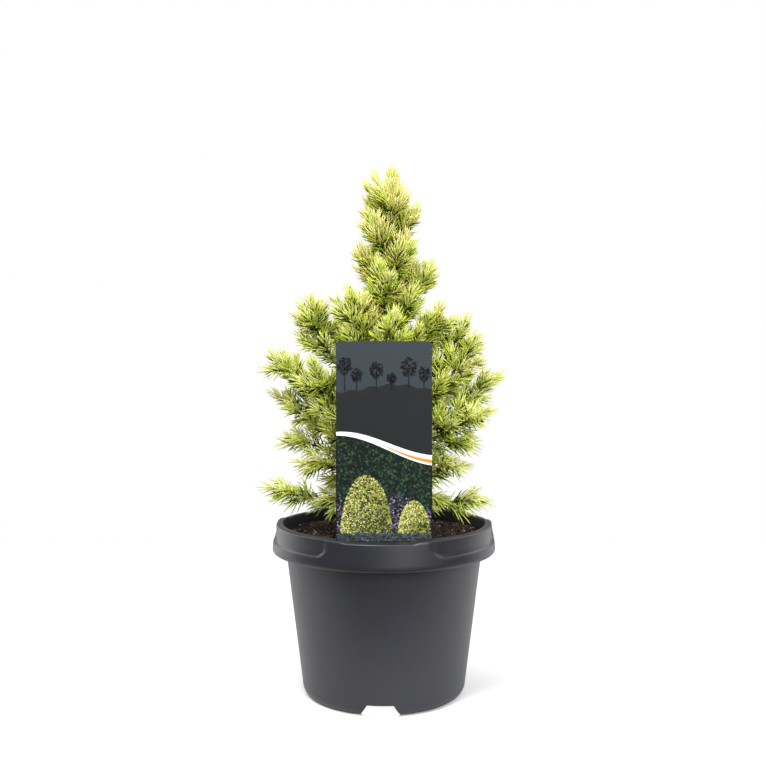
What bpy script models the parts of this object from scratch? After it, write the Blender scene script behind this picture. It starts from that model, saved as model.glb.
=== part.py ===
"""A young dwarf white spruce in a round plastic nursery pot with a plant label, in metres, +Z up.

The origin is the centre of the pot's flat underside, and -Y is the front, where the label stands.
The pot, the soil, the label, the trunk, each bough and each mass of foliage is one closed solid.
"""

import math
import random
from collections import namedtuple

import bmesh
import bpy
import numpy as np
from mathutils import Vector

# Clearance between neighbours that rest on each other
GAP = 0.0003

# Pot: outer sizes
POT_TOP = 0.1453
BODY_RADIUS = 0.0688
DRAFT = 0.1225
WALL = 0.0014
RIM_LIP_Z = 0.1219
RIM_WIDEST = 0.0952
RIM_TOP_RADIUS = 0.0930
RIM_CREST = 0.0868
SEGMENTS = 42
POT_TURN = math.radians(-2.5)

# Pot: rim relief. Three shallow pockets, with a plain stretch between them for a label
POCKETS = 3
POCKET_HALF = math.radians(33)
POCKET_RADIUS = 0.0922
POCKET_Z = (0.1325, 0.1435)
DIP = 0.0012
DIP_HALF = math.radians(18)

# Pot: underside
FOOT_OUTER = 0.0625
FOOT_INNER = 0.0556
BOSS_RADIUS = 0.029
CHANNEL_Z = 0.010
CORNER_Z = 0.009
NOTCH_TOP_HALF = 0.0107
NOTCH_FOOT_HALF = 0.0165
NOTCH_HEIGHT = 0.0096
DRAIN_HOLES = 6
DRAIN_RADIUS = 0.005
DRAIN_CIRCLE = 0.042

# Soil
SOIL_Z = 0.136
SOIL_SEGMENTS = 24
SOIL_SEAT = 0.012

# Label: a flat card that leans back, with a tail in the soil
LABEL_WIDTH = 0.0755
LABEL_TOP = 0.2995
LABEL_SHOULDER = 0.1405
LABEL_TAIL_HALF = 0.012
LABEL_TAIL_Z = 0.104
LABEL_THICK = 0.0008
LABEL_CORNER = 0.0035
LABEL_Y = -0.0752
LABEL_LEAN = math.radians(3.5)

# Trunk
TRUNK_TOP = 0.402
TRUNK_LEAN = 0.0055
TRUNK_RADIUS = 0.0044
TRUNK_FLARE = 0.0026
TRUNK_TIP_RADIUS = 0.0013
TRUNK_SIDES = 10

# Limbs
LIMB_RADIUS = 0.0015
LIMB_END_RADIUS = 0.0010
LIMB_SIDES = 5
LIMB_STEPS = 4

# Shoots: a slim core with needles standing out of it
CORE_RADIUS = 0.0031
NEEDLE_LENGTH = 0.013
NEEDLE_LEAN = math.radians(47)
SHOOT_BANDS = 2
TERMINAL = 0.034
WHORL_STEP = 0.022
STAGGER = 0.0045
HANGING_SIZE = 0.70
OWN_CLEARANCE = 0.0015
GOLDEN = math.radians(137.508)

Limb = namedtuple("Limb", "name azimuth leaves reach tip rise bare spread")

# Each limb: its azimuth, the height where it leaves the trunk, how far out and how high its tip
# is, its rise in degrees at the trunk, the share of it that is bare bough, and the angle between
# it and its shoots. Azimuth 0 is the front and 90 the right. A limb with no bare share is foliage
# from the trunk out.
LIMBS = (
    Limb("low_left", -83, 0.144, 0.101, 0.1775, 20, 0.36, 40),
    Limb("low_right", 80, 0.144, 0.089, 0.1665, 26, 0.36, 36),
    Limb("low_front_right", 56, 0.152, 0.062, 0.173, 34, 0.0, 46),
    Limb("low_front_left", -60, 0.151, 0.063, 0.171, 32, 0.0, 46),
    Limb("low_back_left", -146, 0.147, 0.088, 0.176, 30, 0.36, 46),
    Limb("low_back_right", 146, 0.149, 0.086, 0.180, 30, 0.36, 46),
    Limb("left_second", -76, 0.167, 0.077, 0.200, 38, 0.0, 44),
    Limb("right_second", 70, 0.166, 0.074, 0.198, 36, 0.0, 42),
    Limb("left_third", -102, 0.181, 0.094, 0.212, 36, 0.38, 46),
    Limb("right_third", 101, 0.187, 0.083, 0.212, 36, 0.38, 40),
    Limb("back_second", 179, 0.172, 0.093, 0.220, 34, 0.38, 46),
    Limb("left_front_low", -60, 0.178, 0.060, 0.236, 38, 0.0, 46),
    Limb("left_middle", -96, 0.193, 0.097, 0.254, 33, 0.0, 52),
    Limb("left_fourth", -87, 0.211, 0.099, 0.287, 32, 0.40, 46),
    Limb("right_fourth", 93, 0.200, 0.099, 0.269, 34, 0.42, 46),
    Limb("right_front", 66, 0.191, 0.095, 0.243, 32, 0.0, 46),
    Limb("right_middle", 76, 0.212, 0.080, 0.303, 40, 0.0, 44),
    Limb("left_front", -66, 0.200, 0.069, 0.284, 36, 0.0, 46),
    Limb("back_right", 137, 0.202, 0.092, 0.262, 32, 0.0, 46),
    Limb("back_left", -140, 0.206, 0.092, 0.270, 32, 0.0, 46),
    Limb("back_third", 178, 0.212, 0.088, 0.284, 36, 0.0, 46),
    Limb("front_left", -34, 0.190, 0.062, 0.246, 38, 0.0, 46),
    Limb("front_right", 26, 0.208, 0.060, 0.262, 38, 0.0, 46),
    Limb("left_top", -84, 0.240, 0.067, 0.337, 34, 0.42, 44),
    Limb("right_top", 86, 0.234, 0.071, 0.318, 38, 0.40, 44),
    Limb("front_left_top", -50, 0.262, 0.043, 0.342, 46, 0.0, 38),
    Limb("right_front_top", 66, 0.264, 0.052, 0.328, 42, 0.0, 42),
    Limb("back_left_top", -132, 0.240, 0.060, 0.318, 40, 0.0, 44),
    Limb("back_right_top", 131, 0.246, 0.059, 0.312, 40, 0.0, 44),
    Limb("back_top", 179, 0.263, 0.056, 0.332, 42, 0.0, 42),
    Limb("front_top", 6, 0.250, 0.046, 0.322, 46, 0.0, 42),
    Limb("right_upper", 97, 0.308, 0.040, 0.364, 52, 0.0, 22),
)

# The column of foliage round the upper trunk
COLUMN_COUNT = 12
COLUMN_START = 0.290
COLUMN_STEP = 0.0094
COLUMN_REACH = (0.0270, 0.0228)
COLUMN_CLIMB = (0.048, 0.036)
COLUMN_RISE = 56
COLUMN_SPREAD = 29
COLUMN_TURN = -67
UPRIGHT = 0.60

# The leading shoots at the very top: the azimuth, tilt and length of each
LEADER_TOP = 0.450
LEADER_OUT = 0.0060
LEADER_SHOOTS = (
    (-90, 22, 0.042),
    (84, 26, 0.024),
    (116, 40, 0.024),
    (-150, 30, 0.032),
    (150, 32, 0.030),
    (-72, 45, 0.032),
)

PLASTIC = ("pot_plastic", (0.075, 0.078, 0.085), 0.45, 0.0)
PEAT = ("peat", (0.045, 0.028, 0.018), 0.95, 0.0)
CARD = ("label_card", (0.040, 0.044, 0.050), 0.35, 0.0)
BARK = ("bark", (0.23, 0.145, 0.085), 0.85, 0.0)
NEEDLES = ("needles", (0.52, 0.60, 0.12), 0.5, 0.0)


def clear_scene():
    for obj in list(bpy.data.objects):
        bpy.data.objects.remove(obj)


def material(look):
    name, colour, roughness, metallic = look
    made = bpy.data.materials.get(name)
    if made is None:
        made = bpy.data.materials.new(name)
        made.use_nodes = True
        shader = made.node_tree.nodes["Principled BSDF"]
        shader.inputs["Base Color"].default_value = (*colour, 1.0)
        shader.inputs["Roughness"].default_value = roughness
        shader.inputs["Metallic"].default_value = metallic
    return made


def add_object(name, points, faces, look=None, collection=None):
    """An object from points and faces, with its faces turned outward."""
    mesh = bpy.data.meshes.new(name)
    mesh.from_pydata([tuple(p) for p in points], [], faces)
    work = bmesh.new()
    work.from_mesh(mesh)
    bmesh.ops.recalc_face_normals(work, faces=work.faces)
    work.to_mesh(mesh)
    work.free()
    obj = bpy.data.objects.new(name, mesh)
    (collection or bpy.context.scene.collection).objects.link(obj)
    if look:
        mesh.materials.append(material(look))
    return obj


def evaluated_mesh(obj):
    graph = bpy.context.evaluated_depsgraph_get()
    graph.update()
    return bpy.data.meshes.new_from_object(obj.evaluated_get(graph))


def apply_boolean(obj, operation, other=None, collection=None, solver="EXACT"):
    """Joins obj with, or cuts it by, another object or a collection, which is then removed."""
    modifier = obj.modifiers.new("Boolean", "BOOLEAN")
    modifier.operation = operation
    modifier.solver = solver
    if collection:
        modifier.operand_type = "COLLECTION"
        modifier.collection = collection
    else:
        modifier.object = other
    joined = evaluated_mesh(obj)
    obj.modifiers.remove(modifier)
    old = obj.data
    obj.data = joined
    joined.name = old.name
    bpy.data.meshes.remove(old)
    for used in list(collection.objects) if collection else [other]:
        bpy.data.objects.remove(used)
    if collection:
        bpy.data.collections.remove(collection)


def shade(obj, degrees=35):
    obj.data.shade_smooth()
    obj.data.set_sharp_from_angle(angle=math.radians(degrees))


def on_circle(radius, azimuth, z):
    """A point at this radius and height. Azimuth 0 is the front, -Y, and it grows to the right."""
    return Vector((radius * math.sin(azimuth), -radius * math.cos(azimuth), z))


def lathe(name, profile, segments, look=None, relief=None):
    """Turns a closed profile, whose first and last points lie on the axis, round the Z axis."""
    points = [Vector((0, 0, profile[0][1])), Vector((0, 0, profile[-1][1]))]
    rings = profile[1:-1]
    for radius, z in rings:
        for step in range(segments):
            azimuth = 2 * math.pi * step / segments
            moved = relief(azimuth, radius, z) if relief else (radius, z)
            points.append(on_circle(moved[0], azimuth, moved[1]))
    faces = []
    for step in range(segments):
        beside = (step + 1) % segments
        faces.append((0, 2 + step, 2 + beside))
        last = 2 + (len(rings) - 1) * segments
        faces.append((1, last + beside, last + step))
        for ring in range(len(rings) - 1):
            low = 2 + ring * segments
            high = low + segments
            faces.append((low + step, high + step, high + beside, low + beside))
    return add_object(name, points, faces, look)


def body_radius(z):
    return BODY_RADIUS + DRAFT * z


def inner_radius(z):
    return body_radius(z) - WALL


def angle_between(azimuth, centre):
    """How far the azimuth is from the centre, from 0 to pi."""
    return abs((azimuth - centre + math.pi) % (2 * math.pi) - math.pi)


def rim_skirt_radius(z):
    """The plain outer face of the rim, from its widest line up to its top."""
    share = (z - RIM_LIP_Z - 0.003) / (POT_TOP - 0.0015 - RIM_LIP_Z - 0.003)
    return RIM_WIDEST + (RIM_TOP_RADIUS - RIM_WIDEST) * share


def rim_relief(azimuth, radius, z):
    """Sets the rim's three pockets back and dips its top edge between them."""
    spacing = 2 * math.pi / POCKETS
    label_place = min(angle_between(azimuth, POT_TURN + k * spacing) for k in range(POCKETS))
    in_pocket = label_place > spacing / 2 - POCKET_HALF
    on_rim = radius > RIM_CREST
    if on_rim and in_pocket and POCKET_Z[0] <= z <= POCKET_Z[1]:
        radius -= max(0.0, rim_skirt_radius(z) - POCKET_RADIUS)
    if z > POCKET_Z[1] and label_place < DIP_HALF:
        z -= DIP
    return radius, z


def pot_profile():
    """The wall's section: along the underside, up the outside, over the rim and down inside."""
    corner = [
        (FOOT_OUTER + (body_radius(CORNER_Z) - FOOT_OUTER) * math.sin(a),
         CORNER_Z * (1 - math.cos(a)))
        for a in (math.radians(d) for d in (0, 30, 60, 90))
    ]
    rim_inside = RIM_WIDEST - WALL
    return [
        (0, 0), (BOSS_RADIUS, 0), (BOSS_RADIUS + 0.002, CHANNEL_Z),
        (FOOT_INNER - 0.001, CHANNEL_Z), (FOOT_INNER, 0),
        *corner,
        (body_radius(RIM_LIP_Z), RIM_LIP_Z), (body_radius(0.1405), 0.1405),
        (rim_skirt_radius(0.1405) - 2 * WALL, 0.1405), (rim_inside, 0.1285),
        (rim_inside, RIM_LIP_Z), (RIM_WIDEST - 0.0004, RIM_LIP_Z),
        (RIM_WIDEST, 0.1248), (rim_skirt_radius(0.131), 0.131),
        (rim_skirt_radius(0.133), 0.133), (rim_skirt_radius(0.1425), 0.1425),
        (0.0915, 0.1448), (RIM_CREST, POT_TOP), (RIM_CREST - 0.0012, 0.1443),
        (inner_radius(0.138), 0.138), (inner_radius(0.020), 0.020),
        (inner_radius(0.012) - 0.0026, CHANNEL_Z + WALL),
        (BOSS_RADIUS + 0.0005, CHANNEL_Z + WALL), (BOSS_RADIUS - 0.0015, WALL), (0, WALL),
    ]


def radial_prism(name, foot_half, top_half, low, high, near, far, azimuth):
    """A block with a trapezoid section that runs outward from the axis, as a notch does."""
    section = [(-foot_half, low), (foot_half, low), (top_half, high), (-top_half, high)]
    outward = on_circle(1, azimuth, 0)
    sideways = Vector((-outward.y, outward.x, 0))
    points = [
        outward * distance + sideways * across + Vector((0, 0, z))
        for distance in (near, far) for across, z in section
    ]
    faces = [(3, 2, 1, 0), (4, 5, 6, 7)]
    faces += [(k, (k + 1) % 4, (k + 1) % 4 + 4, k + 4) for k in range(4)]
    return add_object(name, points, faces)


def make_pot():
    pot = lathe("pot", pot_profile(), SEGMENTS, PLASTIC, rim_relief)
    corner_block = [(0, 0.0002), (FOOT_OUTER, 0.0002), *pot_profile()[6:9],
                    (body_radius(0.03) - 0.0002, 0.03), (0, 0.03)]
    for k in range(POCKETS):
        azimuth = POT_TURN + 2 * math.pi * k / POCKETS
        lining = radial_prism("notch_lining", NOTCH_FOOT_HALF + WALL, NOTCH_TOP_HALF + WALL,
                              0.0003, NOTCH_HEIGHT + WALL, FOOT_INNER + 0.0003, 0.09, azimuth)
        apply_boolean(lining, "INTERSECT", lathe("corner_block", corner_block, SEGMENTS))
        apply_boolean(pot, "UNION", lining)
        notch = radial_prism("notch", NOTCH_FOOT_HALF + 0.0006, NOTCH_TOP_HALF,
                             -0.001, NOTCH_HEIGHT, FOOT_INNER - 0.003, 0.09, azimuth)
        apply_boolean(pot, "DIFFERENCE", notch)
    for k in range(DRAIN_HOLES):
        centre = on_circle(DRAIN_CIRCLE, POT_TURN + 2 * math.pi * (k + 0.5) / DRAIN_HOLES, 0)
        ring = [centre + on_circle(DRAIN_RADIUS, math.pi * s / 4, 0) for s in range(8)]
        points = [p + Vector((0, 0, z)) for z in (0.008, 0.014) for p in ring]
        faces = [tuple(range(7, -1, -1)), tuple(range(8, 16))]
        faces += [(s, (s + 1) % 8, (s + 1) % 8 + 8, s + 8) for s in range(8)]
        apply_boolean(pot, "DIFFERENCE", add_object("drain_hole", points, faces))
    shade(pot)
    return pot


def soil_height(azimuth, radius):
    """A gently uneven surface, level under the trunk."""
    if radius < SOIL_SEAT * 1.01:
        return SOIL_Z
    waves = math.sin(3 * azimuth + 40 * radius) + math.sin(5 * azimuth - 95 * radius)
    return SOIL_Z + 0.0007 * waves - 0.0012 * (radius / 0.08) ** 2


def make_soil():
    side = [(inner_radius(z) - GAP, z) for z in (0.020, 0.132)]
    rings = [SOIL_SEAT, 0.032, 0.052, 0.070, inner_radius(0.134) - 2 * GAP]
    profile = [
        (0, WALL + GAP), (BOSS_RADIUS - 0.0024, WALL + GAP),
        (BOSS_RADIUS - 0.0004, CHANNEL_Z + WALL + GAP),
        (inner_radius(0.012) - 0.0032, CHANNEL_Z + WALL + GAP),
        *side,
        *[(radius, SOIL_Z) for radius in reversed(rings)],
        (0, SOIL_Z),
    ]

    def relief(azimuth, radius, z):
        return radius, soil_height(azimuth, radius) if z == SOIL_Z else z

    soil = lathe("soil", profile, SOIL_SEGMENTS, PEAT, relief)
    slot = label_solid("label_slot", GAP, SOIL_Z + 0.01)
    apply_boolean(soil, "DIFFERENCE", slot)
    shade(soil, 60)
    return soil


def label_point(across, z, depth):
    """A point on the leaning card. Depth is along its thickness, positive to the back."""
    rise = (z - POT_TOP) / math.cos(LABEL_LEAN)
    y = LABEL_Y + rise * math.sin(LABEL_LEAN) + depth * math.cos(LABEL_LEAN)
    return Vector((across, y, z - depth * math.sin(LABEL_LEAN)))


def label_outline():
    """Half of the card's outline, from the tail's point up to the middle of the top."""
    half = LABEL_WIDTH / 2
    corner = [
        (half - LABEL_CORNER * (1 - math.cos(a)), LABEL_TOP - LABEL_CORNER * (1 - math.sin(a)))
        for a in (math.radians(d) for d in (0, 30, 60, 90))
    ]
    return [
        (0.003, LABEL_TAIL_Z), (LABEL_TAIL_HALF, LABEL_TAIL_Z + 0.012),
        (LABEL_TAIL_HALF, LABEL_SHOULDER - 0.0015), (half - 0.002, LABEL_SHOULDER),
        (half, LABEL_SHOULDER + 0.002), *corner,
    ]


def label_solid(name, grow=0.0, top=None, look=None):
    """The card, or a slot of its outline grown all round and carried up to a height."""
    right = [(across + grow, z) for across, z in label_outline()]
    right[0] = (right[0][0], right[0][1] - grow)
    if top is not None:
        right = right[:2]
        right.append((right[-1][0], top))
    outline = right + [(-across, z) for across, z in reversed(right)]
    count = len(outline)
    points = [
        label_point(across, z, depth)
        for depth in (-LABEL_THICK / 2 - grow, LABEL_THICK / 2 + grow)
        for across, z in outline
    ]
    faces = [tuple(range(count)), tuple(range(2 * count - 1, count - 1, -1))]
    faces += [(k, k + count, (k + 1) % count + count, (k + 1) % count) for k in range(count)]
    return add_object(name, points, faces, look)


def trunk_axis(z):
    """The trunk's centre line, which leans a little to the right as it climbs."""
    share = (z - SOIL_Z) / (TRUNK_TOP - SOIL_Z)
    return Vector((TRUNK_LEAN * share ** 1.3, 0.0012 * math.sin(5 * share), z))


def trunk_radius(z):
    share = (z - SOIL_Z) / (TRUNK_TOP - SOIL_Z)
    flare = TRUNK_FLARE * math.exp(-(z - SOIL_Z) / 0.006)
    return TRUNK_RADIUS + (TRUNK_TIP_RADIUS - TRUNK_RADIUS) * share + flare


def side_and_up(tangent):
    """Two unit vectors across a direction: one level and one as near upright as it allows."""
    side = tangent.cross(Vector((0, 0, 1)))
    side = side.normalized() if side.length > 0.05 else Vector((1, 0, 0))
    return side, side.cross(tangent).normalized()


def tube(name, path, radii, sides, look=None, collection=None):
    """A closed round bar along a path, with flat ends."""
    points = []
    for k, centre in enumerate(path):
        ahead = path[min(k + 1, len(path) - 1)] - path[max(k - 1, 0)]
        side, up = side_and_up(ahead.normalized())
        for step in range(sides):
            turn = 2 * math.pi * step / sides
            points.append(centre + (side * math.cos(turn) + up * math.sin(turn)) * radii[k])
    faces = [tuple(range(sides - 1, -1, -1)), tuple(range(len(points) - sides, len(points)))]
    for k in range(len(path) - 1):
        for step in range(sides):
            beside = (step + 1) % sides
            faces.append((k * sides + step, k * sides + beside,
                          (k + 1) * sides + beside, (k + 1) * sides + step))
    return add_object(name, points, faces, look, collection)


def make_trunk():
    foot = SOIL_Z + GAP
    heights = [foot, foot + 0.003, foot + 0.008, foot + 0.018]
    heights += [foot + 0.018 + (TRUNK_TOP - foot - 0.018) * k / 9 for k in range(1, 10)]
    points = []
    for z in heights:
        for step in range(TRUNK_SIDES):
            turn = 2 * math.pi * step / TRUNK_SIDES
            lobe = 1 + 0.16 * math.cos(4 * turn) * math.exp(-(z - foot) / 0.006)
            points.append(trunk_axis(z) + on_circle(trunk_radius(z) * lobe, turn, 0))
    faces = [tuple(range(TRUNK_SIDES)),
             tuple(range(len(points) - 1, len(points) - TRUNK_SIDES - 1, -1))]
    for k in range(len(heights) - 1):
        for step in range(TRUNK_SIDES):
            beside = (step + 1) % TRUNK_SIDES
            faces.append((k * TRUNK_SIDES + step, (k + 1) * TRUNK_SIDES + step,
                          (k + 1) * TRUNK_SIDES + beside, k * TRUNK_SIDES + beside))
    trunk = add_object("trunk", points, faces, BARK)
    shade(trunk, 50)
    return trunk


def column_limbs():
    """Short limbs in a spiral round the upper trunk, shorter towards the top."""
    limbs = []
    for k in range(COLUMN_COUNT):
        share = k / (COLUMN_COUNT - 1)
        leaves = COLUMN_START + COLUMN_STEP * k
        reach = COLUMN_REACH[0] + (COLUMN_REACH[1] - COLUMN_REACH[0]) * share ** 2
        climb = COLUMN_CLIMB[0] + (COLUMN_CLIMB[1] - COLUMN_CLIMB[0]) * share
        azimuth = COLUMN_TURN + math.degrees(GOLDEN) * k
        limbs.append(Limb(f"column_{k + 1}", azimuth, leaves, reach, leaves + climb,
                          COLUMN_RISE, 0.0, COLUMN_SPREAD))
    return limbs


def limb_curve(limb):
    """The start, control and end points of the limb's arc, as offsets from the axis."""
    azimuth = math.radians(limb.azimuth)
    start = trunk_axis(limb.leaves)
    end = on_circle(limb.reach, azimuth, limb.tip) + Vector((start.x, 0, 0))
    rise = math.radians(limb.rise)
    span = (end - start).length
    control = start + (on_circle(math.cos(rise), azimuth, math.sin(rise))) * (0.55 * span)
    return start, control, end


def curve_point(curve, t):
    start, control, end = curve
    return start * (1 - t) ** 2 + control * (2 * t * (1 - t)) + end * t ** 2


def curve_tangent(curve, t):
    start, control, end = curve
    return ((control - start) * (1 - t) + (end - control) * t).normalized()


def curve_length(curve):
    steps = 16
    points = [curve_point(curve, k / steps) for k in range(steps + 1)]
    return sum((b - a).length for a, b in zip(points, points[1:]))


def start_share(limb, curve):
    """Where on its arc the limb clears the trunk."""
    rise = math.radians(limb.rise)
    needed = 0.97 * trunk_radius(limb.leaves) + 0.92 * LIMB_RADIUS * math.sin(rise) + GAP
    t = 0.0
    while True:
        point = curve_point(curve, t)
        axis = trunk_axis(point.z)
        if math.hypot(point.x - axis.x, point.y - axis.y) >= needed:
            return t
        t += 0.0005


def limb_radius(t):
    return LIMB_RADIUS + (LIMB_END_RADIUS - LIMB_RADIUS) * t


def shoot_lift(limb):
    """How far a limb's shoots turn up: not at all on the lowest limbs, and most on the column."""
    return UPRIGHT if limb.tip > COLUMN_START + 0.045 else min(0.36, max(0.0, (limb.tip - 0.160) * 4))


def segment_distances(a, b, starts, ends):
    """The distance from the segment a-b to each of many segments."""
    d1 = b - a
    d2 = ends - starts
    r = a - starts
    aa = d1 @ d1
    ee = np.einsum("ij,ij->i", d2, d2)
    f = np.einsum("ij,ij->i", d2, r)
    c = r @ d1
    bb = d2 @ d1
    denom = np.maximum(aa * ee - bb * bb, 1e-18)
    s = np.clip((bb * f - c * ee) / denom, 0, 1)
    t = np.clip((bb * s + f) / np.maximum(ee, 1e-18), 0, 1)
    s = np.clip((bb * t - c) / max(aa, 1e-18), 0, 1)
    near = (a + s[:, None] * d1) - (starts + t[:, None] * d2)
    return np.sqrt(np.einsum("ij,ij->i", near, near))


class Space:
    """What stands in the crown so far, as thick segments that each belong to one solid."""

    def __init__(self):
        self.rows = []
        self.table = None

    def add(self, owner, part, a, b, thick):
        self.rows.append((owner, part, *a, *b, thick))
        self.table = None

    def gaps(self, a, b):
        if self.table is None:
            self.table = np.array(self.rows, float)
        table = self.table
        apart = segment_distances(np.array(a), np.array(b), table[:, 2:5], table[:, 5:8])
        return apart - table[:, 8]

    def clear_of(self, owner, a, b, thick, margin):
        """True if the segment keeps the margin to everything that isn't the owner's."""
        gaps = self.gaps(a, b)
        return bool((gaps[self.table[:, 0] != owner] > thick + margin).all())

    def clear_of_own(self, owner, part, a, b, margin):
        """True if the segment keeps the margin to the owner's other parts."""
        gaps = self.gaps(a, b)
        own = (self.table[:, 0] == owner) & (self.table[:, 1] != part)
        return bool((gaps[own] > margin).all())


def in_the_open(point, margin):
    """True above the soil and the rim, and behind the label."""
    radius = math.hypot(point.x, point.y)
    floor = POT_TOP if radius > inner_radius(SOIL_Z) - 0.004 else SOIL_Z
    if point.z < floor + margin:
        return False
    beside_label = abs(point.x) < LABEL_WIDTH / 2 + margin and point.z < LABEL_TOP + margin
    back_of_label = label_point(0, point.z, LABEL_THICK / 2).y
    return not (beside_label and point.y < back_of_label + 0.004)


def shoot_curve(start, tangent, length, lift):
    """A shoot's arc. It sets out along the tangent and turns up by the lift."""
    control = start + tangent * (length / 2)
    turned = (tangent + Vector((0, 0, lift))).normalized()
    return start, control, control + turned * (length / 2)


def stem_end(curve, from_share):
    """Where on its arc the stem goes over into the shoot at its end."""
    return max(from_share, 1 - TERMINAL / curve_length(curve))


def mass_shoots(limb, curve, from_share):
    """The shoots of one mass, from its tip inward: the end of the stem, then whorl after whorl."""
    rng = random.Random(limb.name)
    length = curve_length(curve)
    lift = shoot_lift(limb)
    drooping = limb.tip < 0.182
    shoots = [shoot_curve(curve_point(curve, stem_end(curve, from_share)),
                          curve_tangent(curve, 0.9), TERMINAL, 0.4 * lift)]
    back = TERMINAL * 0.86
    turn = rng.uniform(0, 2 * math.pi)
    while 1 - back / length > from_share + 0.14:
        t = 1 - back / length
        tangent = curve_tangent(curve, t)
        side, up = side_and_up(tangent)
        steep = abs(tangent.z) > 0.75
        for k in range(3):
            third = -70 if drooping else 88
            roll = turn + k * 2 * math.pi / 3 if steep else math.radians((8, 172, third)[k])
            roll += rng.uniform(-0.3, 0.3)
            root = t - k * STAGGER / length
            if root < from_share + 0.12:
                continue
            spread = math.radians(limb.spread) * rng.uniform(0.85, 1.15)
            across = side * math.cos(roll) + up * math.sin(roll)
            outward = (tangent * math.cos(spread) + across * math.sin(spread)).normalized()
            size = min(0.042, 0.020 + 0.20 * back) * rng.uniform(0.85, 1.1)
            size *= HANGING_SIZE if drooping and k == 2 else 1
            shoots.append(shoot_curve(curve_point(curve, root), outward, size, lift))
        turn += GOLDEN
        back += WHORL_STEP
    return shoots


def leader_shoots(stem):
    """The shoots round the tip of the trunk: the tallest one, and a ring of others under it."""
    shoots = [shoot_curve(curve_point(stem, 0.2), curve_tangent(stem, 0.5), 0.036, 0.1)]
    for k, (azimuth, tilt, length) in enumerate(LEADER_SHOOTS):
        tilt = math.radians(tilt)
        outward = on_circle(math.sin(tilt), math.radians(azimuth), math.cos(tilt))
        shoots.append(shoot_curve(curve_point(stem, 0.03 + 0.02 * k), outward, length, 0.2))
    return shoots


def spiked_shoot(name, arc, owner, number, space, collection):
    """A three-sided core along the arc, with a needle standing out of each of its faces.

    A needle that would leave the mass's own space, or run into another shoot, is left out, and
    its face stays flat.
    """
    points = []
    centres = [curve_point(arc, 0.8 * k / SHOOT_BANDS) for k in range(SHOOT_BANDS + 1)]
    for k, centre in enumerate(centres):
        side, up = side_and_up(curve_tangent(arc, 0.8 * k / SHOOT_BANDS))
        neck = 0.6 if number == 0 else 0.35
        radius = CORE_RADIUS * (neck, 1.0, 0.75)[k]
        for step in range(3):
            turn = math.pi * (2 * step + k) / 3
            points.append(centre + (side * math.cos(turn) + up * math.sin(turn)) * radius)
    faces = [(2, 1, 0)]
    for k in range(SHOOT_BANDS):
        low, high = 3 * k, 3 * k + 3
        middle = (centres[k] + centres[k + 1]) / 2
        tangent = (centres[k + 1] - centres[k]).normalized()
        for step in range(3):
            beside = (step + 1) % 3
            for face in ((low + step, low + beside, high + step),
                         (high + step, low + beside, high + beside)):
                base = sum((points[i] for i in face), Vector()) / 3
                outward = base - middle
                outward = (outward - tangent * outward.dot(tangent)).normalized()
                lean = NEEDLE_LEAN * (1.12 - 0.2 * k)
                along = tangent * math.cos(lean) + outward * math.sin(lean)
                tip = base + along * NEEDLE_LENGTH * (0.9, 1.0)[k]
                if needle_fits(base, tip, owner, number, space):
                    root = base + (tip - base) * 0.35
                    space.add(owner, number, base, root, 0.0022)
                    space.add(owner, number, root, tip, 0.0011)
                    points.append(tip)
                    apex = len(points) - 1
                    faces += [(face[i], face[(i + 1) % 3], apex) for i in range(3)]
                else:
                    faces.append(face)
    last = 3 * SHOOT_BANDS
    points.append(curve_point(arc, 1))
    faces += [(last + s, last + (s + 1) % 3, len(points) - 1) for s in range(3)]
    return add_object(name, points, faces, None, collection)


def needle_fits(base, tip, owner, number, space):
    """True if the needle stays in its own space and clear of the mass's other shoots."""
    if not in_the_open(tip, 0.001):
        return False
    root = base + (tip - base) * 0.35
    if not space.clear_of(owner, root, tip, 0.0008, 0.0005):
        return False
    if not space.clear_of(owner, base, root, 0.0022, 0.0004):
        return False
    return space.clear_of_own(owner, number, base, tip, OWN_CLEARANCE)


def shoot_fits(arc, owner, space):
    """True if the shoot's core keeps to its own space along its whole length."""
    steps = 4
    for k in range(steps):
        a = curve_point(arc, 0.12 + 0.88 * k / steps)
        b = curve_point(arc, 0.12 + 0.88 * (k + 1) / steps)
        if not in_the_open(b, 0.003):
            return False
        if not space.clear_of(owner, a, b, CORE_RADIUS, 0.0012):
            return False
    return True


def keep_largest_body(obj):
    """Drops loose scraps and fills sealed hollows that the union leaves."""
    work = bmesh.new()
    work.from_mesh(obj.data)
    left = set(work.verts)
    bodies = []
    while left:
        seed = left.pop()
        body = {seed}
        stack = [seed]
        while stack:
            for edge in stack.pop().link_edges:
                for vert in edge.verts:
                    if vert in left:
                        left.discard(vert)
                        body.add(vert)
                        stack.append(vert)
        bodies.append(body)
    bodies.sort(key=len)
    scraps = [vert for body in bodies[:-1] for vert in body]
    bmesh.ops.delete(work, geom=scraps, context="VERTS")
    bmesh.ops.triangulate(work, faces=work.faces)
    work.to_mesh(obj.data)
    work.free()


def fuse_mass(name, stem_path, stem_radii, arcs, owner, space):
    """One solid of the stem and its shoots."""
    stem = tube(name, stem_path, stem_radii, 3, NEEDLES)
    sprays = bpy.data.collections.new(name + "_sprays")
    bpy.context.scene.collection.children.link(sprays)
    for k, arc in enumerate(arcs):
        spiked_shoot(f"{name}_spray_{k}", arc, owner, k, space, sprays)
    apply_boolean(stem, "UNION", collection=sprays, solver="MANIFOLD")
    stem.data.materials.clear()
    stem.data.materials.append(material(NEEDLES))
    keep_largest_body(stem)
    return stem


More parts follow.
